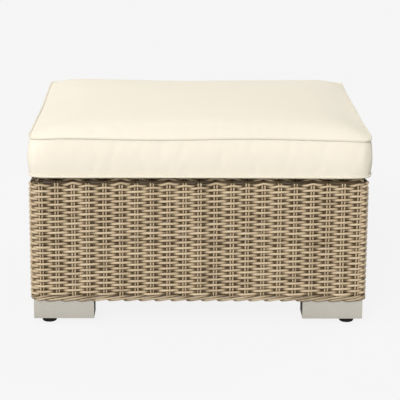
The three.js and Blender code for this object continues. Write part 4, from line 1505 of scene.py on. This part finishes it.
    def seam_sag(self, side: Array, share: Array) -> Array:
        """How far the top seam lies off its level: slow waves, and a droop at the corners."""
        along = share * self.half
        to_corner = self.half * (1 - np.abs(share))
        phase = FULL_TURN * (along - self.wave_start) / self.wave_length + side * self.wave_turn
        drop = self.at_corners(self.droops, side, share) * hump(to_corner, self.droop_span)
        return self.wave * np.cos(phase) * smooth_step(to_corner / self.wave_clear) - drop

    def seam_inset(self, side: Array, share: Array, top: bool) -> Array:
        """How far a seam lies inside the bottom seam's plain line, with its tuck at the corners."""
        to_corner = self.half * (1 - np.abs(share))
        tuck = self.at_corners(self.head_tucks, side, share) if top else self.foot_tuck
        return self.top_inset * top + tuck * hump(to_corner, self.tuck_span)

    def zip_hold(self, side: Array, share: Array, height: Array) -> Array:
        """How firmly the zip holds the band in: 1 beside it, and 0 from 20 mm beyond its ends."""
        along = np.abs(share) * self.half
        beside = smooth_step((self.zip_half + self.zip_clear - along) / self.zip_clear)
        return beside * (side == Side.BACK.value) * hump(height - 0.5, self.zip_band, 4)

    def grid(self) -> tuple[Array, Array, Array]:
        """Square grid of whole numbers: its side, its share along the side and its ring, at each point."""
        n = self.rings
        j, i = np.meshgrid(np.arange(-n, n + 1), np.arange(-n, n + 1), indexing="ij")
        ring = np.maximum(np.abs(i), np.abs(j))
        safe = np.maximum(ring, 1)
        at = [j == -ring, i == ring, j == ring, i == -ring]
        side = np.select(at, [0, 1, 2, 3])
        share = np.select(at, [i / safe, j / safe, -i / safe, -j / safe])
        return side, share, ring

    def border_index(self) -> Array:
        """Numbers of the grid's outermost points, anticlockwise from the front's left corner."""
        n = self.rings
        width = 2 * n + 1
        run = np.arange(-n, n)
        edge = np.full_like(run, n)
        places = ((-edge, run), (run, edge), (edge, -run), (-run, -edge))
        return np.concatenate([(row + n) * width + column + n for row, column in places])

    def cover_points(self) -> tuple[Array, Array, Array]:
        """Points of the cover before it is blown up.

        The top rises by shoulder sin(pi/2 min(e/span, 1)) + crown sin(pi/2 e/h) at e inside the seam.
        The band bulges by sin(pi s) at the share s of its height.

        Returns:
            Top points, bottom points and the band's inner rows.
        """
        side, share, ring = self.grid()
        scale = ring / self.rings
        inset = (1 - scale) * self.half
        rim, _ = self.outline(side, share, self.seam_inset(side, share, top=True))
        sag = self.seam_sag(side, share) * np.exp(-inset / self.sag_reach) * smooth_step(scale * 2)
        rise = self.shoulder_rise * np.sin(np.minimum(inset / self.shoulder_span, 1) * math.pi / 2)
        crown = self.crown_rise * np.sin(inset / self.half * math.pi / 2)
        domed = self.top_seam + sag + rise + crown
        top = np.concatenate([rim * scale[..., None], domed[..., None]], axis=-1)
        foot, _ = self.outline(side, share, self.seam_inset(side, share, top=False))
        lowest = self.underside + self.underside_play
        margin = smooth_step(inset / self.underside_margin)
        level = self.bottom_seam + (lowest - self.bottom_seam) * margin
        bottom = np.concatenate([foot * scale[..., None], level[..., None]], axis=-1)
        border = self.border_index()
        sides = side.reshape(-1)[border]
        shares = share.reshape(-1)[border]
        height = (np.arange(1, self.band_rows) / self.band_rows)[:, None]
        foot_inset = self.seam_inset(sides, shares, top=False)[None, :] * (1 - height) ** 2
        head_inset = self.seam_inset(sides, shares, top=True)[None, :] * height**2
        free = 1 - self.zip_hold(sides, shares, height)
        inside = foot_inset + head_inset - self.bulge * free * np.sin(height * math.pi)
        ring_points, _ = self.outline(sides[None, :], shares[None, :], inside)
        levels = self.bottom_seam + height * (self.top_seam + self.seam_sag(sides, shares) - self.bottom_seam)
        band = np.concatenate([ring_points, levels[..., None]], axis=-1)
        return top, bottom, band

    def cover_body(self) -> Piece:
        """The closed cover, with the seams, the bottom and the zip's line held in a vertex group."""
        top, bottom, band = self.cover_points()
        n = self.rings
        width = 2 * n + 1
        panel = grid_quads(width, width)
        border = self.border_index()
        count = width * width
        around = len(border)
        rows = [border + count]
        rows += [2 * count + row * around + np.arange(around) for row in range(self.band_rows - 1)]
        rows.append(border)
        stack = np.stack(rows)
        wall = grid_quads(self.band_rows + 1, around, wrap_columns=True)
        wall_faces = stack.reshape(-1)[wall]
        points = np.concatenate([top.reshape(-1, 3), bottom.reshape(-1, 3), band.reshape(-1, 3)])
        lengthwise = travelled(top.reshape(-1, 3)[border], closed=True)
        heights = np.linspace(self.bottom_seam, self.top_seam, self.band_rows + 1)
        wall_places = grid_coordinates(heights, lengthwise)[..., ::-1]
        sheet = MeshSheet()
        faces = [
            (panel, points[panel][..., :2]),
            (panel[:, ::-1] + count, points[panel[:, ::-1] + count][..., :2]),
            (wall_faces, wall_places),
        ]
        sheet.add(points, faces)
        body = sheet.build("cushion_cover")
        held = body.vertex_groups.new(name="held")
        middle = self.band_rows // 2
        by_zip = np.concatenate(rows[middle - 1 : middle + 2])
        places = points[by_zip]
        rear = (places[:, 1] > self.half - 0.004) & (np.abs(places[:, 0]) < self.zip_half + 0.005)
        pinned = np.concatenate([np.arange(count) + count, border, by_zip[rear]])
        held.add(pinned.tolist(), 1.0, "REPLACE")
        self.seam_row = border
        return body

    def blow_up(self, body: Piece) -> None:
        """Runs the cloth simulation and keeps its result, with every move eased off at the cap."""
        cloth = body.modifiers.new("Cloth", "CLOTH")
        settings = cloth.settings
        settings.quality = 6
        settings.mass = 0.25
        settings.tension_stiffness = 30
        settings.compression_stiffness = 20
        settings.shear_stiffness = 12
        settings.bending_stiffness = 0.6
        settings.use_pressure = True
        settings.uniform_pressure_force = 4.0
        settings.shrink_min = -0.003
        settings.vertex_group_mass = "held"
        settings.effector_weights.gravity = 0.0
        cloth.collision_settings.use_collision = False
        scene = bpy.context.scene
        start = mesh_points(body.data)
        for step in range(1, self.frames + 1):
            scene.frame_set(step)
        shown = body.evaluated_get(bpy.context.evaluated_depsgraph_get())
        move = mesh_points(shown.to_mesh()) - start
        shown.to_mesh_clear()
        body.modifiers.remove(cloth)
        scene.frame_set(1)
        length = np.maximum(np.linalg.norm(move, axis=1, keepdims=True), 1e-9)
        set_points(body.data, start + move / length * self.cap * np.tanh(length / self.cap))
        LOG.info("cloth: longest move %.1f mm before the cap", 1000 * float(length.max()))

    def finer(self, body: Piece) -> None:
        """Subdivides the cover once, keeping its seams sharp, and applies it."""
        crease = body.data.attributes.new("crease_edge", "FLOAT", "EDGE")
        corners = np.empty(len(body.data.edges) * 2, np.int32)
        body.data.edges.foreach_get("vertices", corners)
        on_seam = np.zeros(len(body.data.vertices), bool)
        on_seam[self.seam_row] = True
        side_count = (2 * self.rings + 1) ** 2
        on_seam[self.seam_row + side_count] = True
        pairs = corners.reshape(-1, 2)
        values = (on_seam[pairs[:, 0]] & on_seam[pairs[:, 1]]).astype(np.float32)
        crease.data.foreach_set("value", values)
        divide = body.modifiers.new("finer", "SUBSURF")
        divide.levels = 1
        divide.render_levels = 1
        shown = body.evaluated_get(bpy.context.evaluated_depsgraph_get())
        mesh = bpy.data.meshes.new_from_object(shown)
        body.modifiers.remove(divide)
        body.data = mesh

    def beside(self, distance: Array, reach: float) -> Array:
        """Share of the gathers at a distance from a seam: none in it, and fading with exp(-d / reach)."""
        return np.exp(-distance / reach) * (1 - np.exp(-distance / self.seam_width))

    def pucker(self, body: Piece) -> None:
        """Adds the small gathers beside the seams and the folds at the corners.

        Beside a seam the cloth moves out by a sum of sines along it. At each corner the band has
        short folds that fan down from the top seam.

        Args:
            body: the cover.
        """
        points = mesh_points(body.data)
        x, y, z = points.T
        uneven = np.abs(x) - np.abs(y)
        sideways = uneven > 0
        along = np.where(sideways, y * np.sign(x), -x * np.sign(y))
        quarter = np.where(sideways, 2 + np.sign(x), 1 + np.sign(y)).astype(int)
        inset = self.half - np.maximum(np.abs(x), np.abs(y))
        slope = 0.5 * self.shoulder_rise * np.clip(inset / self.shoulder_span, 0, 1)
        on_top = (z > self.top_seam + slope - 0.002) & (inset > 0.0025)
        on_band = (inset < 0.006) & ~on_top & (z > self.bottom_seam - 0.001)
        gathers = np.zeros_like(x)
        for length in self.pucker_lengths:
            shift = self.random.uniform(0, FULL_TURN, 5)[quarter]
            gathers += np.sin(FULL_TURN * along / length + shift) * length / self.pucker_usual
        gathers /= self.pucker_sum
        gathers *= smooth_step((self.half - np.abs(along)) / self.pucker_clear)
        z = z + np.where(on_top, self.pucker_top * gathers * self.beside(inset, 0.011), 0.0)
        fade = self.beside(np.abs(self.top_seam - z), 0.010)
        fade = fade + self.beside(np.abs(z - self.bottom_seam), 0.009)
        turn = np.arctan2(y, x)
        near_corner = hump(uneven, self.fold_reach)
        height = np.clip((z - self.bottom_seam) / (self.top_seam - self.bottom_seam), 0, 1)
        fan = np.sin(uneven / (self.fold_spread + self.fold_fan * (1 - height)) + turn)
        folds = self.fold * fan * near_corner * np.sin(math.pi * height) * smooth_step(height * 1.5)
        rear = (y > self.half - 0.01) & (np.abs(x) < self.zip_half + 0.01)
        push = np.where(on_band & ~rear, self.pucker_band * gathers * fade + folds, 0.0)
        outward = np.stack([np.cos(turn), np.sin(turn)], axis=1)
        square = np.stack([np.sign(x) * sideways, np.sign(y) * ~sideways], axis=1)
        points[:, :2] += unit(square + near_corner[:, None] * outward) * push[:, None]
        points[:, 2] = z
        set_points(body.data, points)

    def cover(self) -> None:
        """Builds, blows up and finishes the cover."""
        body = self.cover_body()
        self.blow_up(body)
        self.finer(body)
        self.pucker(body)
        body.data.polygons.foreach_set("use_smooth", np.ones(len(body.data.polygons), bool))
        self.shift(body)
        panels = ("cover_top_panel", "cover_bottom_panel", "cover_side_band")
        self.wardrobe.dress(body, "cream_canvas", "cushion", "foam_core", *panels)

    def shift(self, piece: Piece) -> None:
        """Moves a piece's mesh to where the cushion lies, and widens it towards the back.

        Args:
            piece: the object, whose x becomes lie + x (1 + flare share), with a share that eases from
                0 at the front to 1 at the back.
        """
        points = mesh_points(piece.data)
        share = smooth_step(0.5 + points[:, 1] / (1.6 * self.half))
        points[:, 0] = self.lie + points[:, 0] * (1 + self.flare * share)
        set_points(piece.data, points)

    def piping(self, top: bool) -> None:
        """One ring of piping: a cord carried along its seam, with the cloth's slight unevenness.

        Args:
            top: whether it is the top seam's.
        """
        per_side = self.piping_steps // len(Side)
        sides = np.repeat(np.arange(len(Side)), per_side)
        shares = np.tile(np.linspace(-1, 1, per_side, endpoint=False), len(Side))
        plan, out = self.outline(sides, shares, self.seam_inset(sides, shares, top))
        level = self.top_seam + self.seam_sag(sides, shares) if top else self.bottom_seam + 0 * shares
        path = np.concatenate([plan + out * self.piping_out, level[:, None]], axis=1)
        tangents = unit(np.roll(path, -1, axis=0) - np.roll(path, 1, axis=0))
        outward = np.concatenate([out, np.zeros((len(out), 1))], axis=1)
        up = unit(np.cross(tangents, outward))
        angles = turn_angles(self.piping_sides)[None, :]
        travel = turn_angles(len(path))[:, None]
        radius = self.piping_radius + sum(
            height * np.sin(waves * travel + turns * angles) for height, waves, turns in self.ripples
        )
        ring = up[:, None, :] * np.cos(angles)[..., None] + outward[:, None, :] * np.sin(angles)[..., None]
        points = path[:, None, :] + radius[:, :, None] * ring
        girth = np.linspace(0, FULL_TURN * self.piping_radius, self.piping_sides + 1)
        quads = grid_quads(len(path), self.piping_sides, wrap_rows=True, wrap_columns=True)
        sheet = MeshSheet()
        sheet.add(points, [(quads, grid_coordinates(travelled(path, closed=True), girth))])
        name = "top" if top else "bottom"
        piece = sheet.build("piping_cord_" + name, outwards=True)
        self.shift(piece)
        self.wardrobe.dress(piece, "bias_cut_piping_painted_shade", "cushion", "piping_" + name)

    def build(self) -> None:
        """Makes the cover, both rings of piping and the zip."""
        self.cover()
        self.piping(top=False)
        self.piping(top=True)
        Zip(self.wardrobe, self.zip_half, self.zip_level, self.zip_face).build()


@dataclass
class Zip:
    """The coil zip along the back of the band: coils, tape, folded edges, stitches, slider and pull."""

    wardrobe: Wardrobe
    half: float  # half the zip's length
    level: float
    face: float  # distance back of its outer face
    coil_pitch: float = 0.0022
    coil_width: float = 0.0026
    coil_depth: float = 0.0009  # reach of a coil in and out
    wire: float = 0.00038
    turn_steps: int = 8
    lip_start: float = 0.0048  # distance of the folded edges from the middle
    lip_end: float = 0.0125
    stitch: float = 0.0036  # length of a stitch with its gap
    stitch_share: float = 0.36  # half of it that is thread
    stitch_radius: float = 0.00028
    seam_line: float = 0.002
    tape: tuple[float, float] = (-0.0016, -0.0009)  # the tape's faces, from the zip's outer face
    lip: tuple[float, float] = (-0.0010, 0.0003)
    bar_sides: int = 12
    bar_steps: int = 60
    bar_fullness: float = 0.45  # power of the section's rounding: 1 is an ellipse, 0 a rectangle
    sags: tuple[tuple[float, float], ...] = ((0.00012, 55.0), (0.00009, 131.0))  # height and rate
    slider_rounding: float = 0.0005
    pull_rounding: float = 0.0004

    def coils(self, sheet: MeshSheet) -> None:
        """Two flattened helices that mesh with half a turn between them.

        A coil's point is x along the zip, level + width (1 + cos t) / 2 and face + depth sin t.

        Args:
            sheet: the mesh that takes them.
        """
        turns = int(2 * self.half / self.coil_pitch)
        angle = np.linspace(0, turns * FULL_TURN, turns * self.turn_steps + 1)
        paths = []
        for hand, shift in ((1.0, 0.0), (-1.0, math.pi)):
            x = -self.half + (angle / FULL_TURN) * self.coil_pitch
            z = self.level + hand * self.coil_width * (0.42 + 0.5 * np.cos(angle + shift))
            y = self.face - self.coil_depth + self.coil_depth * np.sin(angle + shift)
            paths.append(np.stack([x, y, z], axis=1))
        stack = np.stack(paths)
        reference = np.broadcast_to([1.0, 0.0, 0.0], stack.shape)
        Strands(stack, reference, self.wire, 0.5, 5).add_to(sheet)

    def bar(self, sheet: MeshSheet, low: float, high: float, back: float, front: float) -> None:
        """A long flat strip with a rounded section, from one end of the zip to the other.

        Args:
            sheet: the mesh that takes it.
            low: its lower edge.
            high: its upper edge.
            back: its inner face.
            front: its outer face.
        """
        sides = self.bar_sides
        angles = turn_angles(sides)
        across, deep = (
            np.sign(wave) * np.abs(wave) ** self.bar_fullness for wave in (np.cos(angles), np.sin(angles))
        )
        z = (low + high) / 2 + (high - low) / 2 * across
        y = (back + front) / 2 + (front - back) / 2 * deep
        x = np.linspace(-self.half, self.half, self.bar_steps)
        sag = sum(height * np.sin(x * rate) for height, rate in self.sags)
        points = np.stack(np.broadcast_arrays(x[:, None], y[None, :] + sag[:, None], z[None, :]), axis=-1)
        quads = grid_quads(len(x), sides, wrap_columns=True)
        girth = np.linspace(0, 2 * (high - low), sides + 1)
        first = np.arange(sides)
        last = first + (len(x) - 1) * sides
        pole = np.full(sides, len(x) * sides)
        near = np.stack([first, np.roll(first, -1), pole], axis=1)
        far = np.stack([np.roll(last, -1), last, pole + 1], axis=1)
        caps = np.concatenate([near, far])
        places = np.concatenate([points.reshape(-1, 3), points[[0, -1]].mean(axis=1)])
        sheet.add(places, [(quads, grid_coordinates(x, girth)), (caps, np.zeros((len(caps), 3, 2)))])

    def stitches(self, sheet: MeshSheet, height: float) -> None:
        """A row of short raised stitches along the zip.

        Args:
            sheet: the mesh that takes them.
            height: the row's height.
        """
        count = int(2 * self.half / self.stitch)
        centres = -self.half + (np.arange(count) + 0.5) * self.stitch
        share = np.linspace(-1, 1, 5)
        x = centres[:, None] + share[None, :] * self.stitch * self.stitch_share
        y = self.face + 0.00045 + 0.0003 * (1 - share[None, :] ** 2) + 0 * x
        paths = np.stack([x, y, np.full_like(x, height)], axis=-1)
        normals = np.broadcast_to([0.0, 1.0, 0.0], paths.shape)
        radius = self.stitch_radius * np.sqrt(1.05 - share**2)
        Strands(paths, normals, radius[None, :], 0.5, 5).add_to(sheet)

    def build(self) -> None:
        """Makes the zip's pieces."""
        chain = MeshSheet()
        self.coils(chain)
        tape = (self.face + depth for depth in self.tape)
        self.bar(chain, self.level - self.lip_start, self.level + self.lip_start, *tape)
        piece = chain.build("coil_zip_chain", outwards=True)
        self.wardrobe.dress(piece, "nylon_coil", "cushion", "zip_chain")
        for name, hand in (("lower", -1.0), ("upper", 1.0)):
            edge = MeshSheet()
            levels = sorted(self.level + hand * distance for distance in (self.lip_start, self.lip_end))
            self.bar(edge, *levels, *(self.face + depth for depth in self.lip))
            self.stitches(edge, self.level + hand * (self.lip_start + self.seam_line))
            lip = edge.build("folded_zip_edge_" + name, outwards=True)
            self.wardrobe.dress(lip, "cream_canvas", "cushion", "cover_zip_strip_" + name)
        slider = softened_copy("zip_slider", "cast_zip_slider", self.slider_rounding, 3)
        self.wardrobe.dress(slider, "zinc_plated_steel", "zip_slider", "zip_slider")
        pull = softened_copy("zip_pull", "stamped_zip_pull", self.pull_rounding, 3)
        self.wardrobe.dress(pull, "zinc_plated_steel", "zip_pull", "zip_pull")


@dataclass(frozen=True)
class Studio:
    """Pale floor, soft light and the camera at the photograph's angle."""

    place: Place = (-0.0434, -3.3961, 1.0089)
    pitch: float = 13.64  # degrees that it looks down
    yaw: float = 0.851  # degrees that it looks to the right
    roll: float = 0.349  # degrees that its right side is tipped up
    lens: float = 138.18
    sensor: float = 36.0
    backdrop: float = 0.925  # level of the background, where 1 is white
    sky: float = 0.41
    sky_colour: Colour = (1.0, 0.99, 0.97)
    softness: float = 16.0  # angle of the suns' discs, in degrees
    key_strength: float = 2.11
    key_from: Place = (-0.29, -0.83, 0.48)
    fill_strength: float = 0.55
    fill_from: Place = (0.7, 0.75, 0.8)
    panel_power: float = 13.0
    panel_place: Place = (-1.6, -0.6, 2.0)
    panel_aim: Place = (0.0, 0.0, 0.4)
    panel_width: float = 1.2
    floor_half: float = 30.0
    floor_level: float = 0.93
    floor_evenness: float = 0.94  # share of the seen floor that is the backdrop's own level
    shade_half: float = 0.325  # half the width of the floor inside the base, which is left in its own shade
    shade_edge: float = 0.035  # how far its edge is blurred either way
    shade_front: float = -0.17  # where it starts to darken, from front to back
    shade_back: float = 0.06  # where it is darkest
    shade_evenness: float = 0.16  # share of the backdrop's level that is left there
    bounce: float = 0.54  # how pale the floor is for the light that it throws back

    def camera(self) -> None:
        """Makes the camera: it looks along its forward direction, turned by its roll."""
        pitch, yaw, roll = (math.radians(angle) for angle in (self.pitch, self.yaw, self.roll))
        forward = Vector((math.sin(yaw) * math.cos(pitch), math.cos(yaw) * math.cos(pitch), -math.sin(pitch)))
        level = Vector((math.cos(yaw), -math.sin(yaw), 0.0))
        upright = level.cross(forward)
        right = level * math.cos(roll) + upright * math.sin(roll)
        up = upright * math.cos(roll) - level * math.sin(roll)
        data = bpy.data.cameras.new("photo_camera")
        data.lens = self.lens
        data.sensor_width = self.sensor
        data.sensor_fit = "HORIZONTAL"
        camera = linked("photo_camera", data)
        turn = Matrix((right, up, -forward)).transposed().to_4x4()
        camera.matrix_world = Matrix.Translation(self.place) @ turn
        bpy.context.scene.camera = camera

    def lamp(self, name: str, kind: str, power: float, source: Vector) -> Piece:
        """A lamp.

        Args:
            name: its name.
            kind: its type, such as SUN.
            power: its strength.
            source: the direction that it shines from.

        Returns:
            The lamp, at the origin.
        """
        data = bpy.data.lights.new(name, kind)
        data.energy = power
        lamp = linked(name, data)
        lamp.rotation_euler = source.to_track_quat("Z", "Y").to_euler()
        return lamp

    def lamps(self) -> None:
        """Two broad, soft suns, and a square panel above the left that lights the cushion's left more."""
        for name, strength, source in (
            ("key_lamp", self.key_strength, self.key_from),
            ("fill_lamp", self.fill_strength, self.fill_from),
        ):
            self.lamp(name, "SUN", strength, Vector(source)).data.angle = math.radians(self.softness)
        aim = Vector(self.panel_place) - Vector(self.panel_aim)
        panel = self.lamp("left_panel", "AREA", self.panel_power, aim)
        panel.data.size = self.panel_width
        panel.location = self.panel_place

    def seen_directly(self, sheet: NodeSheet) -> Socket:
        """1 for rays from the camera, mirrors and glass, and 0 for light that falls on the object."""
        rays = sheet.add("ShaderNodeLightPath")
        shiny = sheet.math("MAXIMUM", rays.outputs["Is Glossy Ray"], rays.outputs["Is Transmission Ray"])
        return sheet.math("MAXIMUM", rays.outputs["Is Camera Ray"], shiny)

    def open_floor(self, sheet: NodeSheet) -> Socket:
        """1 on the open floor, falling to shade_evenness inside the base: slowly from the front."""
        place = sheet.add("ShaderNodeTexCoord").outputs["Object"]
        split = sheet.add("ShaderNodeSeparateXYZ", {0: place})
        across = sheet.math("ABSOLUTE", split.outputs[0])
        widest = sheet.math("MAXIMUM", across, split.outputs[1])
        near = self.shade_half - self.shade_edge
        far = self.shade_half + self.shade_edge
        outside = sheet.add("ShaderNodeMapRange", {0: widest, 1: near, 2: far}).outputs[0]
        depth = {0: split.outputs[1], 1: self.shade_front, 2: self.shade_back, 3: 1.0, 4: 0.0}
        ahead = sheet.add("ShaderNodeMapRange", depth).outputs[0]
        return sheet.spread(sheet.math("MAXIMUM", outside, ahead), self.shade_evenness, 1.0)

    def floor(self) -> None:
        """Wide pale floor, evened out for the camera while it keeps the object's shadow."""
        material = bpy.data.materials.new("pale_floor")
        sheet = node_sheet(material)
        pale = sheet.add("ShaderNodeBsdfDiffuse", {0: grey(self.floor_level)})
        glow = sheet.add("ShaderNodeEmission", {0: grey(self.backdrop), 1: 1.0})
        parts = {0: self.floor_evenness, 1: pale.outputs[0], 2: glow.outputs[0]}
        seen = sheet.add("ShaderNodeMixShader", parts)
        bounce = sheet.add("ShaderNodeBsdfDiffuse", {0: grey(self.bounce)})
        evened = sheet.math("MULTIPLY", self.seen_directly(sheet), self.open_floor(sheet))
        mixed = sheet.add("ShaderNodeMixShader", {0: evened, 1: bounce.outputs[0], 2: seen.outputs[0]})
        sheet.add("ShaderNodeOutputMaterial", {0: mixed.outputs[0]})
        wide = self.floor_half
        mesh = bpy.data.meshes.new("studio_floor")
        corners = [(-wide, -wide, 0), (wide, -wide, 0), (wide, wide, 0), (-wide, wide, 0)]
        mesh.from_pydata(corners, [], [(0, 1, 2, 3)])
        mesh.materials.append(material)
        floor = linked("studio_floor", mesh)

    def world(self) -> None:
        """Even sky light, seen as the backdrop's level."""
        world = bpy.data.worlds.new("studio_sky")
        sheet = node_sheet(world)
        light = sheet.add("ShaderNodeBackground", {0: opaque(self.sky_colour), 1: self.sky})
        shown = sheet.add("ShaderNodeBackground", {0: grey(self.backdrop), 1: 1.0})
        parts = {0: self.seen_directly(sheet), 1: light.outputs[0], 2: shown.outputs[0]}
        mixed = sheet.add("ShaderNodeMixShader", parts)
        sheet.add("ShaderNodeOutputWorld", {0: mixed.outputs[0]})
        bpy.context.scene.world = world

    def build(self) -> None:
        """Sets up the whole studio."""
        self.camera()
        self.lamps()
        self.floor()
        self.world()
        bpy.context.scene.view_settings.view_transform = "Standard"


def main() -> None:
    """Builds the studio and the ottoman, part by part."""
    logging.basicConfig(level=logging.INFO, format="%(message)s")
    Studio().build()
    wardrobe = Wardrobe()
    Cushion(wardrobe).build()
    WovenBase(wardrobe).build()
    FrameTubes(wardrobe).build()
    LegSet(wardrobe).build()


if __name__ == "__main__":
    main()
